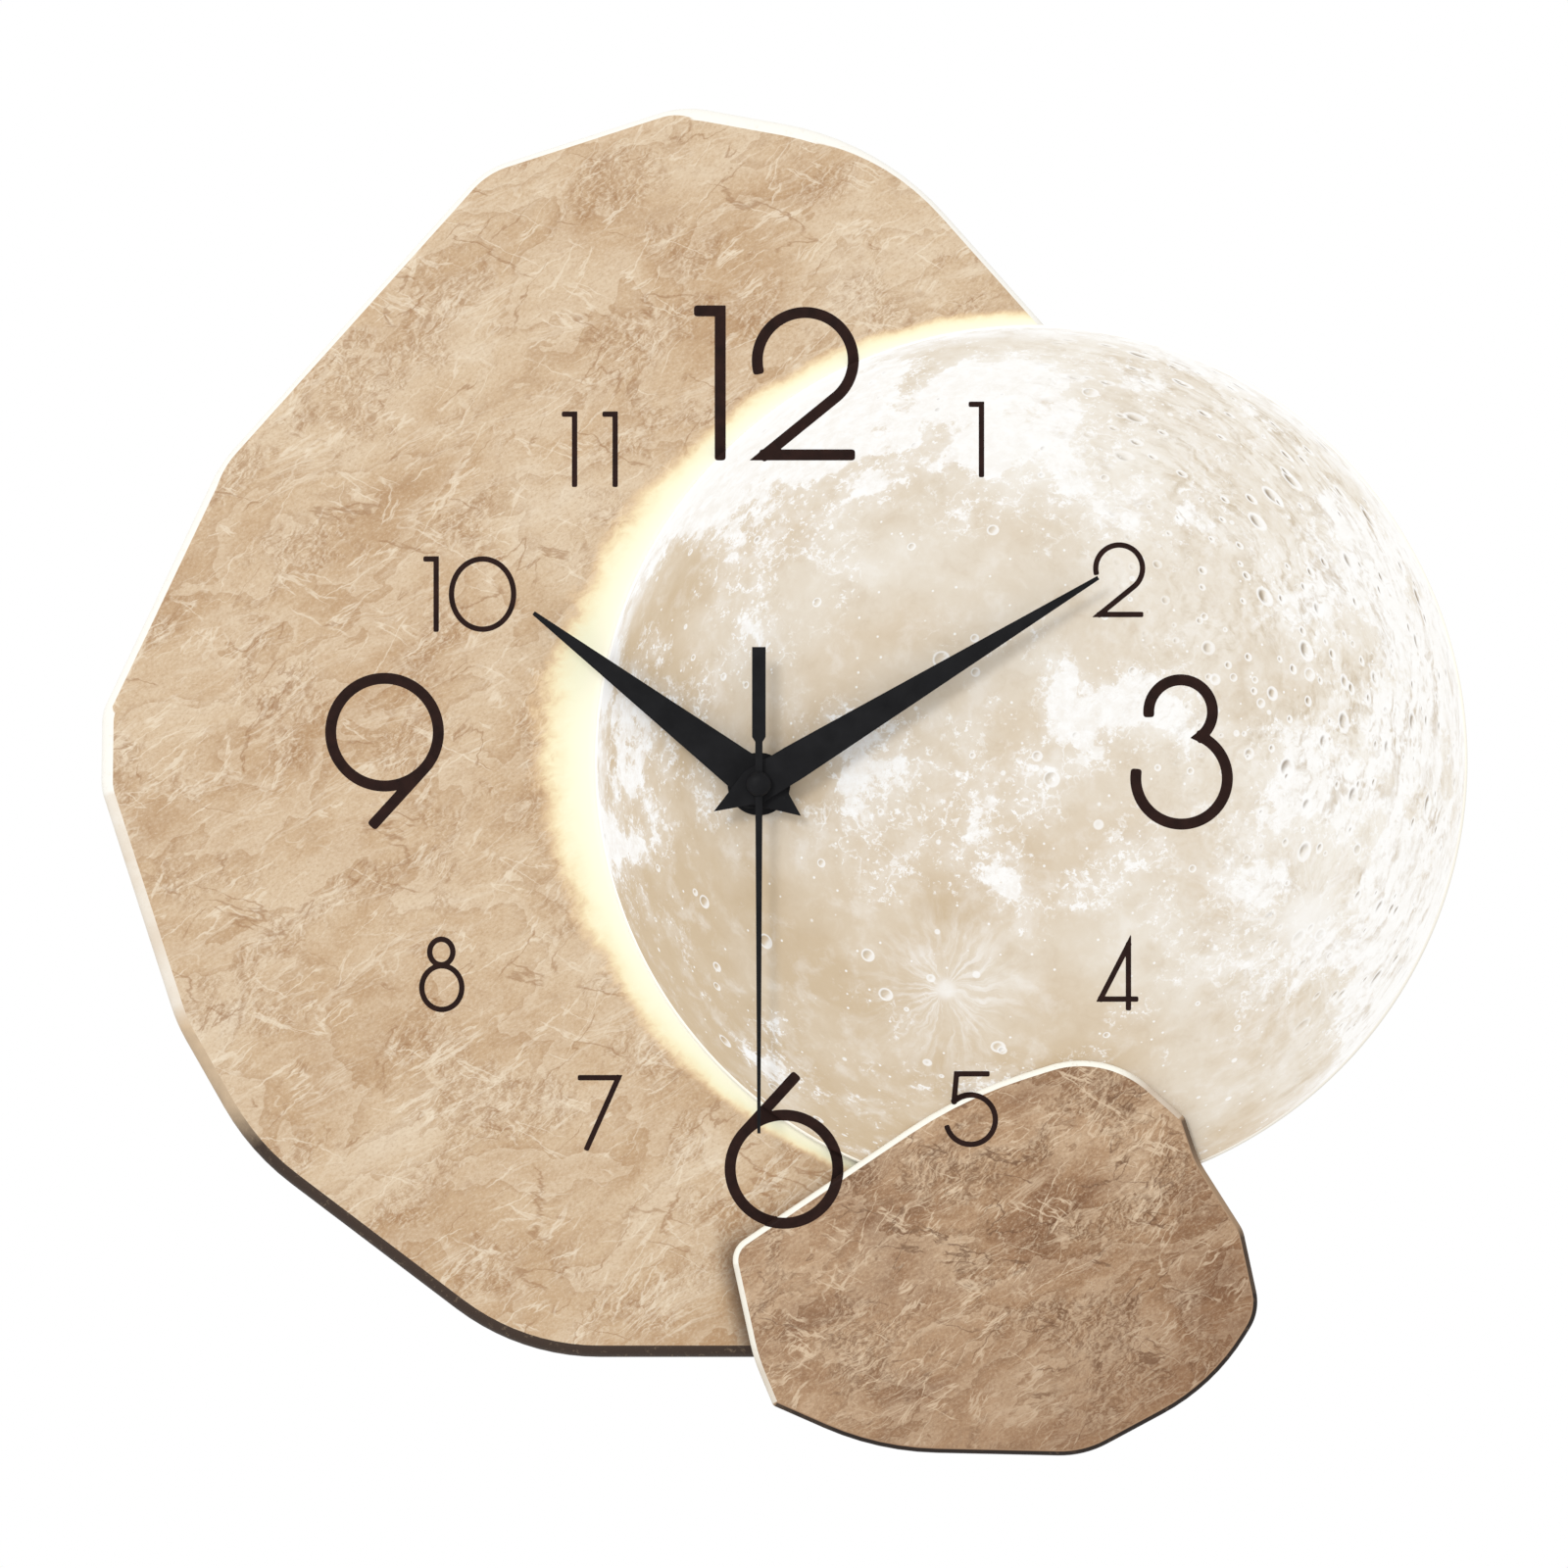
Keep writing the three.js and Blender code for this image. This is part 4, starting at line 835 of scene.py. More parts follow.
# Outline through rounded corners, drawn in by an inset
def rounded_outline(corners, inset=0.0):
    points = []
    count = len(corners)
    for index, (x, z, radius) in enumerate(corners):
        corner = Vector((x, z))
        arriving = (corner - Vector(corners[index - 1][:2])).normalized()
        leaving = (Vector(corners[(index + 1) % count][:2]) - corner).normalized()
        turn = math.atan2(arriving.cross(leaving), arriving.dot(leaving))
        outward = 1 if turn < 0 else -1
        tangent = radius * math.tan(abs(turn) / 2)
        spoke = Vector((-arriving.y, arriving.x)) * outward
        centre = corner - arriving * tangent - spoke * radius
        steps = max(ARC_LEAST_STEPS, math.ceil(abs(turn) / math.radians(ARC_DEGREES)))
        for step in range(steps + 1):
            angle = turn * step / steps
            across = Vector((
                spoke.x * math.cos(angle) - spoke.y * math.sin(angle),
                spoke.x * math.sin(angle) + spoke.y * math.cos(angle),
            ))
            points.append(tuple(centre + across * (radius - outward * inset)))
    return points[::-1]


# Draws in a straight-sided outline that runs counter-clockwise
def inset_outline(points, inset):
    drawn = []
    corners = [Vector(point) for point in points]
    for before, here, after in zip(corners[-1:] + corners, corners, corners[1:] + corners[:1]):
        arriving = (here - before).normalized()
        leaving = (after - here).normalized()
        first = Vector((-arriving.y, arriving.x))
        second = Vector((-leaving.y, leaving.x))
        mitre = (first + second) / (1 + first.dot(second))
        drawn.append(tuple(here + mitre * inset))
    return drawn


# A turned piece about the axis of the hands. Profile points are (radius, depth).
def turned_piece(name, node, profile):
    shape = bmesh.new()
    loops = []
    for radius, depth in profile:
        ring = circle(radius, TURNED_SEGMENTS) if radius else [(0, 0)]
        loops.append(loop_of(shape, ring, depth))
    join_row(shape, loops)
    bmesh.ops.remove_doubles(shape, verts=shape.verts, dist=WELD)
    dressed_piece(name, node, shape, 30)


# A ring with rounded outer edges
def ring_piece(name, node, outer, edge):
    back, front = depth_range(node)
    rounding = quarter_round(edge, RING_STEPS)
    profile = [(BOARD_BORE, back)]
    profile += [(outer - drop, back + inset) for inset, drop in rounding]
    profile += [(outer - inset, front - drop) for inset, drop in rounding]
    profile += [(BOARD_BORE, front), (BOARD_BORE, back)]
    turned_piece(name, node, profile)


def merge_flat(shape, degrees):
    limit = math.radians(degrees)
    bmesh.ops.dissolve_limit(shape, angle_limit=limit, verts=shape.verts, edges=shape.edges)


# A copy of a node with its sharp edges softened
def softened(name, node, width):
    shape = bmesh.new()
    shape.from_mesh(frame["nodes"][node].data)
    bmesh.ops.remove_doubles(shape, verts=shape.verts, dist=WELD)
    merge_flat(shape, degrees=1)
    for face in shape.faces:
        face.material_index = 0
    piece = new_piece(name, shape, [node_slot[node]], 30)
    bevel = piece.modifiers.new("soft_edges", "BEVEL")
    bevel.width = width * MM
    bevel.segments = 2
    bevel.limit_method = "ANGLE"
    bevel.angle_limit = math.radians(35)
    piece.modifiers.move(1, 0)
    return piece


def soften(name, node, width):
    dress(softened(name, node, width), node)


# Boards


def base_outline(inset=0.0):
    return rounded_outline(BASE_STONE_CORNERS, inset)


def moon_outline(inset=0.0):
    return circle(MOON_RADIUS - inset, MOON_SEGMENTS, MOON_X, MOON_Z)


def front_outline(inset=0.0):
    return rounded_outline(FRONT_STONE_CORNERS, inset)


def board(name, node, outline_at, rounding, bore, edge):
    layers = rounded_layers(outline_at, *depth_range(node), rounding, BACK_EDGE)
    dressed_piece(name, node, stack(layers, bore), 50, [node_slot[node], edge, "bare_fibreboard"])


board("light_stone", "base_stone_board", base_outline, BASE_ROUNDING, BOARD_BORE, "light_stone_edge")
board("moon", "moon_board", moon_outline, MOON_ROUNDING, BOARD_BORE, "moon_edge")
board("dark_stone", "front_stone_board", front_outline, FRONT_ROUNDING, 0.0, "dark_stone_edge")
soften("packing_strip", "packing_block", width=0.3)


# Numbers: strokes are drawn in a box one number high, from its lower left corner. Points are
# complex numbers: the real part is across and the imaginary part is up.

STROKE = 0.0355
TOP = (1 - STROKE) * 1j
FOOT = STROKE * 1j
BOWL = 0.3465
WIDEST_DIGIT = 0.9
LARGE = 34.1
SMALL = 16.6
INK_HEIGHT = 0.03
INK_BODY = 0.025
INK_GRID = 0.22
INK_LIFT = 0.12
INK_UNDER_STONE = 1.0
INK_MARGIN = 1.0
INK_WELD = 2e-6
WALL_STEP = 0.05
TINY = 1e-9


# Distance from a stroke's end, with its round end pressed almost flat
def to_end(beyond, beside):
    return np.where(beyond > 0, (beyond**4 + beside**4) ** 0.25, np.inf)


def to_line(place, first, second):
    length = abs(second - first)
    local = (place - first) * ((second - first) / length).conjugate()
    forward = local.real
    beside = abs(local.imag)
    middle = np.where((forward >= 0) & (forward <= length), beside, np.inf)
    ends = np.minimum(to_end(-forward, beside), to_end(forward - length, beside))
    return np.minimum(middle, ends)


def to_arc(place, centre, radius, start, end):
    spoke = place - centre
    inside = (np.degrees(np.angle(spoke)) - start) % 360 <= end - start
    nearest = np.full(place.shape, np.inf)
    for degrees, onward in ((start, -1), (end, 1)):
        local = spoke * cmath.rect(1, -math.radians(degrees))
        nearest = np.minimum(nearest, to_end(onward * local.imag, abs(local.real - radius)))
    return np.where(inside, abs(abs(spoke) - radius), nearest)


def to_oval(place, centre, wide, high):
    across = (place.real - centre.real) / wide
    up = (place.imag - centre.imag) / high
    reach = np.hypot(across, up) + TINY
    slope = np.hypot(across / wide, up / high) / reach + TINY
    return abs(reach - 1) / slope


# Fills the outer corner between two strokes out to its point
def to_point(place, before, corner, after):
    first = (corner - before) / abs(corner - before)
    second = (after - corner) / abs(after - corner)
    outward = -np.sign((second * first.conjugate()).imag)
    past_first = (place - corner) * first.conjugate()
    past_second = (place - corner) * second.conjugate()
    inside = np.maximum(outward * past_first.imag, outward * past_second.imag) - STROKE
    return np.maximum(np.maximum(inside, -past_first.real), past_second.real) + STROKE


# A path of straight strokes whose corners come to a point
def path(*points):
    strokes = [(to_line, *ends) for ends in zip(points, points[1:])]
    return strokes + [(to_point, *bend) for bend in zip(points, points[1:], points[2:])]


# Where the straight stroke from a point touches a round bowl on its right-hand side
def touching(point, centre, radius):
    away = abs(centre - point)
    direction = cmath.phase(centre - point) - math.asin(radius / away)
    return point + cmath.rect(math.sqrt(away * away - radius * radius), direction)


def digit_two():
    centre = 0.345 + 0.645j
    radius = 0.309
    corner = 0.085 + FOOT
    touch = touching(corner, centre, radius)
    end = math.degrees(cmath.phase(touch - centre))
    return [(to_arc, centre, radius, end, 190)] + path(touch, corner, 0.63 + FOOT)


def digit_three():
    waist = 0.4576 + 0.598j
    before, after = (waist + cmath.rect(1, math.radians(slope)) for slope in (38.8, -24.6))
    upper = (to_arc, 0.329 + 0.758j, 0.2053, -51.2, 180)
    lower = (to_arc, 0.335 + 0.330j, 0.2947, -185, 65.4)
    return [upper, lower, (to_point, before, waist, after)]


# A round bowl with a straight stroke that touches it, for six and nine
def bowl_and_tail(centre, end):
    return [(to_oval, centre, BOWL, BOWL), (to_line, end, touching(end, centre, BOWL))]


DIGITS = {
    "0": [(to_oval, 0.4465 + 0.5j, 0.411, 0.4645)],
    "1": path(0.036 + TOP, 0.17 + TOP, 0.17 + FOOT),
    "2": digit_two(),
    "3": digit_three(),
    "4": path(0.444 + FOOT, 0.444 + 0.868j, 0.075 + 0.151j, 0.54 + 0.151j),
    "5": [(to_arc, 0.314 + 0.362j, 0.3265, -161, 132)] + path(0.532 + TOP, 0.13 + TOP, 0.097 + 0.604j),
    "6": bowl_and_tail(0.378 + 0.382j, 0.44 + TOP),
    "7": path(0.036 + TOP, 0.538 + TOP, 0.123 + FOOT),
    "8": [(to_oval, 0.299 + 0.324j, 0.2646, 0.2885), (to_oval, 0.292 + 0.796j, 0.153, 0.1685)],
    "9": bowl_and_tail(0.375 + 0.618j, 0.313 + FOOT),
}

# Each number: the left edges of its digits, its foot and its height, in millimetres
NUMBERS = {
    "12": ((-14.3, -1.6), 71.0, LARGE),
    "1": ((46.0,), 67.3, SMALL),
    "2": ((73.3,), 36.6, SMALL),
    "3": ((81.3,), -10.0, LARGE),
    "4": ((73.7,), -49.7, SMALL),
    "5": ((41.2,), -79.6, SMALL),
    "6": ((-7.4,), -97.5, LARGE),
    "7": ((-39.8,), -80.5, SMALL),
    "8": ((-74.6,), -50.1, SMALL),
    "9": ((-95.0,), -9.7, LARGE),
    "10": ((-73.7, -68.1), 33.4, SMALL),
    "11": ((-43.3, -34.4), 65.2, SMALL),
}


# Distance to the ink of a number, negative inside it
def to_number(place, number):
    lefts, foot, height = NUMBERS[number]
    nearest = np.full(place.shape, np.inf)
    for digit, left in zip(number, lefts):
        local = (place - complex(left, foot)) / height
        for measure, *stroke in DIGITS[digit]:
            nearest = np.minimum(nearest, measure(local, *stroke))
    return (nearest - STROKE) * height


def to_moon(place):
    return abs(place - complex(MOON_X, MOON_Z)) - MOON_RADIUS


# Distance to the front stone's outline, negative inside it
def to_front_stone(place):
    nearest = np.full(place.shape, np.inf)
    crossings = np.zeros(place.shape, dtype=int)
    for first, second in round_loop([complex(x, z) for x, z in front_outline()]):
        local = (place - first) / (second - first)
        gap = abs(local - np.clip(local.real, 0, 1)) * abs(second - first)
        nearest = np.minimum(nearest, gap)
        spans = (first.imag > place.imag) != (second.imag > place.imag)
        crossings += spans & ((local.imag > 0) == (second.imag > first.imag))
    return np.where(crossings % 2 == 1, -nearest, nearest)


# How far the ink drops at this distance inside a rounded outline. It rides a little high, so
# that its flat facets stay above the curve.
def edge_drop(inside, rounding):
    short = np.clip(rounding - inside - INK_LIFT, 0, rounding)
    return rounding - np.sqrt(rounding * rounding - short * short)


# Distances to the parts of the base and the moon that show, negative inside them. The print on
# the base runs a little way into the slot under the front stone.
def on_base(place):
    return -np.minimum(to_moon(place), to_front_stone(place) + INK_UNDER_STONE)


def on_moon(place):
    return np.maximum(to_moon(place), -to_front_stone(place))


# Each board under the ink: where it shows, the edge its face rounds down to, the outline that the
# ink runs down, and the rounding
LEVELS = (
    ("light_stone", "base_stone_board", on_base, on_base, None, 0.0),
    ("moon", "moon_board", on_moon, to_moon, moon_outline, MOON_ROUNDING),
    ("dark_stone", "front_stone_board", to_front_stone, to_front_stone, front_outline, FRONT_ROUNDING),
)


# Film of ink wherever the distance is negative, laid on the face below it
def ink_film(distance, face, left, right, low, high):
    xs = np.arange(left, right + INK_GRID, INK_GRID)
    zs = np.arange(low, high + INK_GRID, INK_GRID)
    place = xs[:, None] + 1j * zs[None, :]
    value = distance(place)
    filled = value < 0
    if not filled.any():
        return None
    shape = bmesh.new()
    made = {}

    # The point where the ink ends between two grid points, or a grid point given twice
    def vertex(a, b):
        a, b = sorted((a, b))
        if (a, b) not in made:
            share = value[a] / (value[a] - value[b]) if a != b else 0.0
            point = place[a] + share * (place[b] - place[a])
            made[a, b] = shape.verts.new((point.real, 0, point.imag))
        return made[a, b]

    busy = filled[:-1, :-1] | filled[1:, :-1] | filled[:-1, 1:] | filled[1:, 1:]
    for i, j in zip(*np.nonzero(busy)):
        square = [(i, j), (i + 1, j), (i + 1, j + 1), (i, j + 1)]
        for triangle in (square[:3], square[2:] + square[:1]):
            corners = []
            for a, b in round_loop(triangle):
                if filled[a]:
                    corners.append(vertex(a, a))
                if filled[a] != filled[b]:
                    corners.append(vertex(a, b))
            if len(corners) > 2:
                shape.faces.new(corners)
    places = np.array([complex(vert.co.x, vert.co.z) for vert in shape.verts])
    for vert, depth in zip(shape.verts, face(places) + INK_HEIGHT):
        vert.co = at(vert.co.x, depth, vert.co.z)
    bmesh.ops.remove_doubles(shape, verts=shape.verts, dist=INK_WELD)
    merge_flat(shape, degrees=0.6)
    return shape


# Ink down the side of a board wherever the distance is negative, inside a window
def ink_wall(shape, distance, node, outline, rounding, window):
    back, front = depth_range(node)
    left, right, bottom, top = window
    low = back + BACK_EDGE
    high = front - edge_drop(0.0, rounding) + INK_HEIGHT
    for first, second in round_loop([complex(x, z) for x, z in outline]):
        shares = np.linspace(0, 1, math.ceil(abs(second - first) / WALL_STEP) + 1)
        place = first + shares * (second - first)
        x = place.real
        z = place.imag
        if x.max() < left or x.min() > right or z.max() < bottom or z.min() > top:
            continue
        inked = distance(place) < 0
        for step in np.nonzero(inked[:-1] & inked[1:])[0]:
            lower = [at(x[end], low, z[end]) for end in (step, step + 1)]
            upper = [at(x[end], high, z[end]) for end in (step + 1, step)]
            shape.faces.new([shape.verts.new(corner) for corner in lower + upper])
    bmesh.ops.remove_doubles(shape, verts=shape.verts, dist=INK_WELD)


# Gives an open film of ink its body, on the side of the board
def thicken(piece):
    body = piece.modifiers.new("ink_body", "SOLIDIFY")
    body.thickness = INK_BODY * MM
    body.offset = -1
    piece.modifiers.move(1, 0)


def print_number(number):
    lefts, foot, height = NUMBERS[number]
    left = min(lefts) - INK_MARGIN
    right = max(lefts) + WIDEST_DIGIT * height + INK_MARGIN
    window = (left, right, foot - INK_MARGIN, foot + height + INK_MARGIN)

    for level, node, region, to_edge, outline_at, rounding in LEVELS:
        def distance(place):
            return np.maximum(to_number(place, number), region(place) - 2 * INK_HEIGHT)

        def face(place):
            return depth_range(node)[1] - edge_drop(-to_edge(place), rounding)

        shape = ink_film(distance, face, *window)
        if shape is None:
            continue
        if outline_at:
            ink_wall(shape, distance, node, outline_at(-INK_HEIGHT), rounding, window)
        piece = new_piece(f"number_{number}_on_{level}", shape, ["number_ink"], closed=False)
        thicken(piece)
        dress(piece, node, replaced=False)


for number in NUMBERS:
    print_number(number)


# Hands: degrees are clockwise from twelve

HAND_EDGE = 0.07
HAND_TIP_HALF_WIDTH = 0.45
REAR_SHOULDER = 1.5


# Half outline mirrored into a whole one that runs counter-clockwise
def mirrored(right_side):
    return right_side + [(-x, z) for x, z in reversed(right_side) if x != 0]


def hand(name, node, outline, degrees, hole):
    angle = math.radians(degrees)
    placed = [
        (x * math.cos(angle) + z * math.sin(angle), z * math.cos(angle) - x * math.sin(angle))
        for x, z in outline
    ]

    def outline_at(inset):
        return inset_outline(placed, inset)

    layers = rounded_layers(outline_at, *depth_range(node), HAND_EDGE, HAND_EDGE)
    dressed_piece(name, node, stack(layers, hole), 50, [node_slot[node]] * 3)


def kite(length, tail, half_width, shoulder):
    widest = [(half_width, -REAR_SHOULDER), (half_width, shoulder)]
    return mirrored([(0, -tail)] + widest + [(HAND_TIP_HALF_WIDTH, length)])


def second_outline():
    hub = 2.7
    neck = 0.8
    tip = 0.35
    length = 76.5
    shoulder_at = neck - (neck - tip) * hub / length
    tail = 1.5
    rear = math.asin(neck / hub) - QUARTER
    front = math.acos(shoulder_at / hub)
    side = [(tail, -30.0), (tail, -10.3), (neck, -9.2)] + arc(hub, rear, front, steps=24)
    return mirrored(side + [(tip, length)])


hour_outline = kite(length=62, tail=11.6, half_width=4.5, shoulder=4.3)
minute_outline = kite(length=87, tail=11.6, half_width=3.9, shoulder=9)
hand("hour_blade", "hour_hand", hour_outline, degrees=307.2, hole=3.2)
hand("minute_blade", "minute_hand", minute_outline, degrees=58.7, hole=2.3)
hand("second_blade", "second_hand", second_outline(), degrees=180, hole=1.3)


def collet(name, node, bore, neck, flange):
    back, front = depth_range(node)
    flange_front = back + 0.6
    edge = 0.12
    profile = [(bore, back), (flange - edge, back), (flange, back + edge)]
    profile += [(flange, flange_front - edge), (flange - edge, flange_front), (neck, flange_front)]
    profile += [(neck, front - edge), (neck - edge, front), (bore, front), (bore, back)]
    turned_piece(name, node, profile)


collet("hour_collar", "hour_hand_collet", bore=2.6, neck=3.1, flange=4.3)
collet("minute_collar", "minute_hand_collet", bore=1.7, neck=2.2, flange=3.4)


# Domed cap on a stem with a blind bore
def second_cap():
    node = "second_hand_boss"
    back, front = depth_range(node)
    dome_back = depth_range("second_hand")[1] + 0.1
    radius = 2.7
    edge = 0.15
    stem = 1.2
    bore = 0.7
    bore_end = front - 0.7
    steps = 14
    profile = [(0, front)]
    for step in range(1, steps + 1):
        angle = step / steps * QUARTER
        rise = (front - dome_back - edge) * math.cos(angle)
        profile.append((radius * math.sin(angle), dome_back + edge + rise))
    profile += [(radius - edge, dome_back), (stem, dome_back), (stem, back)]
    profile += [(bore, back), (bore, bore_end), (0, bore_end)]
    turned_piece("second_cap", node, profile)


second_cap()


# Clamp at the middle: washer, chamfered nut, threaded bush and gasket


def nut():
    node = "hex_nut"
    back, front = depth_range(node)
    corner = 6.2
    flat = corner * math.cos(math.pi / 6)
    chamfer = 0.55
    segments = 144
    steps = 5

    def hexagon(limit):
        points = []
        for step in range(segments):
            angle = step / segments * 2 * math.pi
            within = (angle + math.pi / 6) % (math.pi / 3) - math.pi / 6
            reach = min(flat / math.cos(math.pi / 6 - abs(within)), limit)
            points.append((reach * math.cos(angle), reach * math.sin(angle)))
        return points

    shares = [step / steps for step in range(steps + 1)]
    layers = [(back + chamfer * share, hexagon(flat + (corner - flat) * share)) for share in shares]
    for share in shares:
        layers.append((front - chamfer * (1 - share), hexagon(corner - (corner - flat) * share)))
    dressed_piece("chamfered_nut", node, stack(layers, BOARD_BORE), 25, [node_slot[node]] * 3)


# Thread: shallow turned grooves one pitch apart
def bush():
    node = "threaded_bush"
    back, front = depth_range(node)
    bore = 2.7
    crest = 3.85
    root = 3.55
    flange = 5.5
    flange_front = back + 1.0
    pitch = 0.7
    lead_in = 0.3
    profile = [(bore, back), (flange, back), (flange, flange_front), (crest, flange_front)]
    depth = flange_front + pitch
    while depth + pitch < front:
        profile += [(crest, depth), (root, depth + pitch * 0.4), (crest, depth + pitch * 0.8)]
        depth += pitch
    profile += [(crest, front - lead_in), (crest - lead_in, front), (bore, front), (bore, back)]
    turned_piece("dial_bush", node, profile)


ring_piece("dial_washer", "nut_washer", outer=6.9, edge=0.2)
nut()
bush()
ring_piece("soft_gasket", "rubber_gasket", outer=7.0, edge=0.25)


# Cutting

# Cuts from behind start behind the wall, and cuts through a sheet start this far outside it
BEHIND = -1.0
OUTSIDE = 1.0


# Cuts shapes out of a piece and keeps the result as its mesh
def carve(piece, cutters):
    for cutter in cutters:
        cut = piece.modifiers.new("cut", "BOOLEAN")
        cut.operation = "DIFFERENCE"
        cut.solver = "EXACT"
        cut.object = cutter
        piece.modifiers.move(len(piece.modifiers) - 1, 0)
    bpy.context.view_layer.update()
    seen = piece.evaluated_get(bpy.context.evaluated_depsgraph_get())
    result = bpy.data.meshes.new_from_object(seen)
    piece.modifiers.clear()
    piece.data = result
    for cutter in cutters:
        bpy.data.objects.remove(cutter)
    return piece


def new_cutter(shape):
    bmesh.ops.recalc_face_normals(shape, faces=shape.faces)
    return mesh_object("cutter", shape)


def block_cutter(outline, back, front):
    return new_cutter(stack([(back, outline), (front, outline)]))


# Hanger: a steel strip with rounded bends, an eye for the nail and a hole for the bush
def hanger():
    node = "hanger_bracket"
    low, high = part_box(node)
    wall_gap, strip_front = depth_range(node)
    thick = 1.2
    half_width = high.x / MM
    top = high.z / MM
    foot = low.z / MM
    eye_radius = 3.5
    eye_margin = 3.0
    eye_z = top - eye_margin - eye_radius
    shelf = eye_z - eye_radius - eye_margin
    inner = 0.4
    outer = inner + 1.0
    end = 0.2
    edge = 0.15
    hole_segments = 48
    outline = rounded_outline([
        (wall_gap, shelf - thick, outer),
        (wall_gap, top, end),
        (wall_gap + thick, top, end),
        (wall_gap + thick, shelf, inner),
        (strip_front, shelf, outer),
        (strip_front, foot, end),
        (strip_front - thick, foot, end),
        (strip_front - thick, shelf - thick, inner),
    ])
    drawn_in = inset_outline(outline, edge)
    shape = bmesh.new()
    sections = []
    for side, points in (
        (-half_width, drawn_in),
        (-half_width + edge, outline),
        (half_width - edge, outline),
        (half_width, drawn_in),
    ):
        sections.append([shape.verts.new(at(side, depth, z)) for depth, z in points])
    join_row(shape, sections)
    for section in (sections[0], sections[-1]):
        shape.faces.new(section)
    eye = circle(eye_radius, hole_segments, 0, eye_z)
    bush_hole = circle(BOARD_BORE, hole_segments)
    piece = carve(new_piece("bent_hanger", shape, ["steel"]), [
        block_cutter(eye, wall_gap - OUTSIDE, wall_gap + thick + OUTSIDE),
        block_cutter(bush_hole, strip_front - thick - OUTSIDE, strip_front + OUTSIDE),
    ])
    dress(piece, node)


hanger()


# Movement


# A block with a rounded outline, for cutting a shallow recess
def recess_cutter(left, right, low, high, radius, floor):
    corners = [(left, low, radius), (left, high, radius), (right, high, radius), (right, low, radius)]
    return block_cutter(rounded_outline(corners), BEHIND, floor)


def ring_cutter(inner, outer, floor, x, z):
    shape = bmesh.new()
    loops = []
    for radius, depth in ((inner, BEHIND), (outer, BEHIND), (outer, floor), (inner, floor)):
        loops.append(loop_of(shape, circle(radius, TURNED_SEGMENTS, x, z), depth))
    join_row(shape, loops + loops[:1])
    return new_cutter(shape)


# Part of a disc, for a finger hollow on one side of a grip bar
def hollow_cutter(middle, floor, x, z):
    radius = 4.3
    half_bar = 0.9
    reach = math.acos(half_bar / radius)
    outline = arc(radius, middle - reach, middle + reach, 24, x, z)
    return block_cutter(outline, BEHIND, floor)


# A case whose cover has a sunk panel, grip lines and a ring around the setting knob
def movement():
    soften("case_shell", "movement_case", width=0.35)
    knob_low, knob_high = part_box("setting_knob")
    knob_x = (knob_low.x + knob_high.x) / 2 / MM
    knob_z = (knob_low.z + knob_high.z) / 2 / MM
    hollow_depth = 0.9
    hollow_floor = -knob_high.y / MM + hollow_depth
    panel_floor = 0.3
    groove_floor = 0.35
    grooves = 6
    groove_pitch = 1.6
    groove_width = 0.7
    first_groove = -8.0
    cutters = [
        recess_cutter(-21, 21, low=7, high=23, radius=1.5, floor=panel_floor),
        ring_cutter(inner=6.5, outer=7.1, floor=groove_floor, x=knob_x, z=knob_z),
    ]
    for groove in range(grooves):
        low = first_groove + groove * groove_pitch
        high = low + groove_width
        cutters.append(recess_cutter(-21, -3, low, high, radius=0.3, floor=groove_floor))
    cover = softened("case_cover", "movement_cover", width=0.12)
    dress(carve(cover, cutters), "movement_cover")
    knob = softened("knob", "setting_knob", width=0.08)
    hollows = [hollow_cutter(side, hollow_floor, knob_x, knob_z) for side in (math.pi, 0)]
    dress(carve(knob, hollows), "setting_knob")
    soften("minus_spring", "battery_contact_negative", width=0.06)
    soften("plus_plate", "battery_contact_positive", width=0.06)


movement()


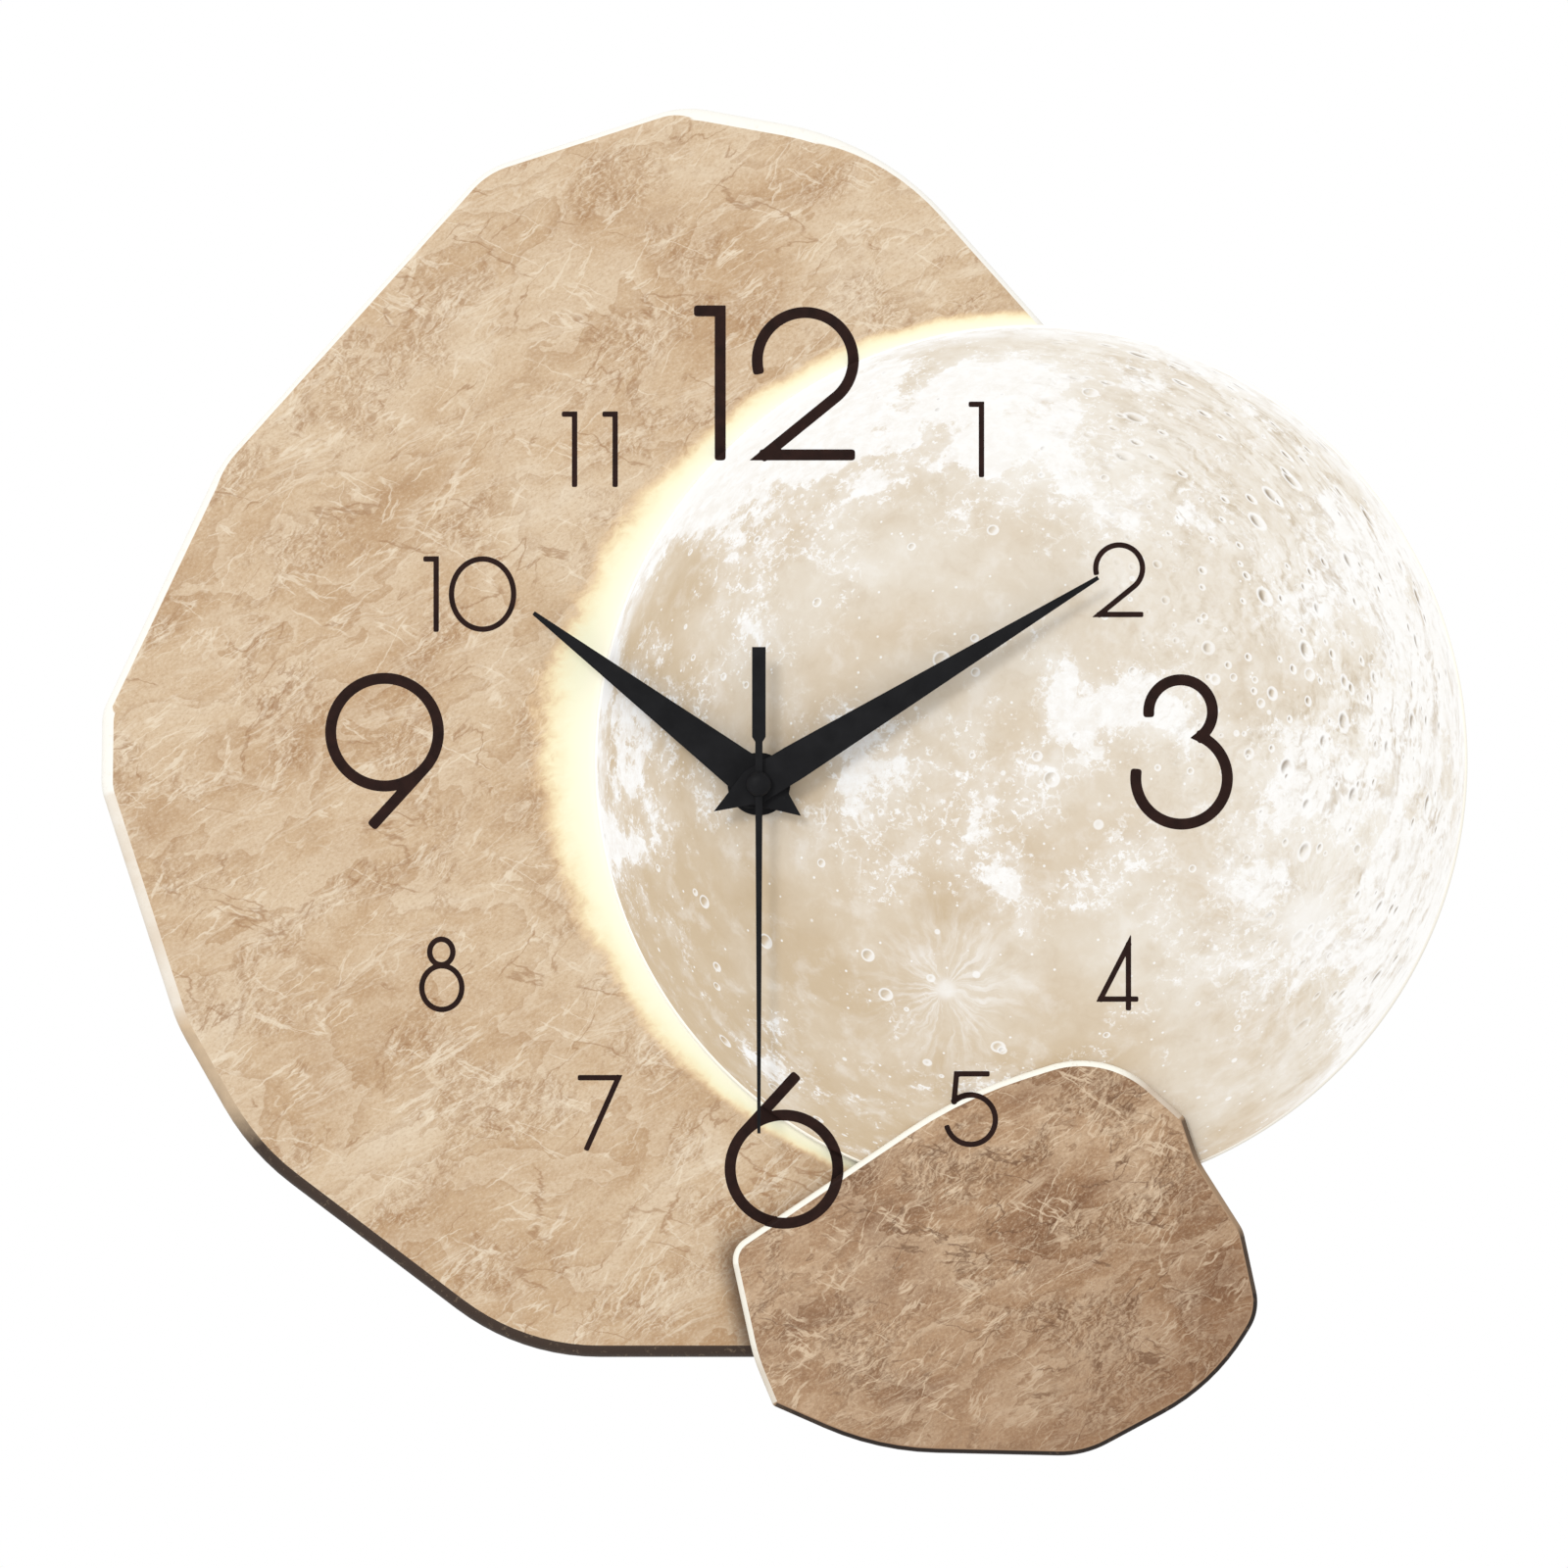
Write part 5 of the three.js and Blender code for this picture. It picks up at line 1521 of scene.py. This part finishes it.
# Battery: a plain shrunk sleeve over a steel can, with the plus end to the right
def battery():
    node = "battery"
    low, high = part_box(node)
    radius = (high.z - low.z) / 2 / MM
    middle_z = (high.z + low.z) / 2 / MM
    middle_depth = -(high.y + low.y) / 2 / MM
    left = low.x / MM
    right = high.x / MM
    shoulder = right - 1.0
    nub = 2.75
    can = radius - 0.45
    segments = 64
    # Radius, place along the cell, and whether the steel shows there
    profile = [
        (0, left, 1), (can - 1.2, left, 1), (can - 0.8, left + 0.25, 1), (can - 0.1, left + 0.1, 1),
        (can, left + 0.12, 0), (radius - 0.15, left + 0.2, 0), (radius, left + 0.5, 0),
        (radius, shoulder - 0.6, 0), (radius - 0.2, shoulder - 0.15, 0), (can, shoulder, 0),
        (can - 0.6, shoulder - 0.05, 1), (nub + 1.2, shoulder - 0.05, 1), (nub + 0.3, shoulder, 1),
        (nub, shoulder + 0.25, 1), (nub - 0.05, right - 0.3, 1), (nub - 0.35, right, 1), (0, right, 1),
    ]
    shape = bmesh.new()
    rings = []
    for ring_radius, along, steel in profile:
        points = circle(ring_radius, segments) if ring_radius else [(0, 0)]
        places = [at(along, middle_depth + across, middle_z + up) for across, up in points]
        rings.append(([shape.verts.new(place) for place in places], steel))
    for (first, first_steel), (second, second_steel) in zip(rings, rings[1:]):
        join_loops(shape, first, second, max(first_steel, second_steel))
    dressed_piece("sleeved_cell", node, shape, 30, [node_slot[node], "steel"])


battery()


# Finishes for the nodes that stay in view as they are
for name, node in frame["nodes"].items():
    node.data.materials.clear()
    node.data.materials.append(finishes[node_slot[name]])


# Floor, light and camera, in metres


def floor():
    half = 3.0
    level = -0.42
    shape = bmesh.new()
    corners = [(-half, -half), (half, -half), (half, half), (-half, half)]
    shape.faces.new([shape.verts.new((x, y, level)) for x, y in corners])
    piece = mesh_object("floor", shape)
    piece.data.materials.append(finishes["pale_floor"])


def key_light():
    place = Vector((-0.9, -2.6, 1.0))
    data = bpy.data.lights.new("key", "AREA")
    data.shape = "DISK"
    data.size = 0.7
    data.energy = 24
    lamp = new_object("key", data)
    lamp.location = place
    lamp.rotation_euler = (-place).to_track_quat("-Z", "Y").to_euler()


def surroundings():
    world = bpy.data.worlds.new("white_studio")
    world.use_nodes = True
    backdrop = world.node_tree.nodes["Background"]
    backdrop.inputs["Color"].default_value = (1, 1, 1, 1)
    backdrop.inputs["Strength"].default_value = 1.0
    bpy.context.scene.world = world
    bpy.context.scene.view_settings.view_transform = "Standard"


# The photograph looks straight at the dial through a long lens. Its view is in millimetres.
def photo_camera():
    view_width = 344.3
    view_x = 5.5
    distance = 4000
    sensor = 36
    data = bpy.data.cameras.new("photo_camera")
    data.sensor_width = sensor
    data.lens = sensor * distance / view_width
    data.clip_end = 50
    camera = new_object("photo_camera", data)
    camera.location = at(view_x, depth_range("base_stone_board")[1] + distance, 0)
    camera.rotation_euler = (QUARTER, 0, 0)
    bpy.context.scene.camera = camera


floor()
surroundings()
key_light()
photo_camera()
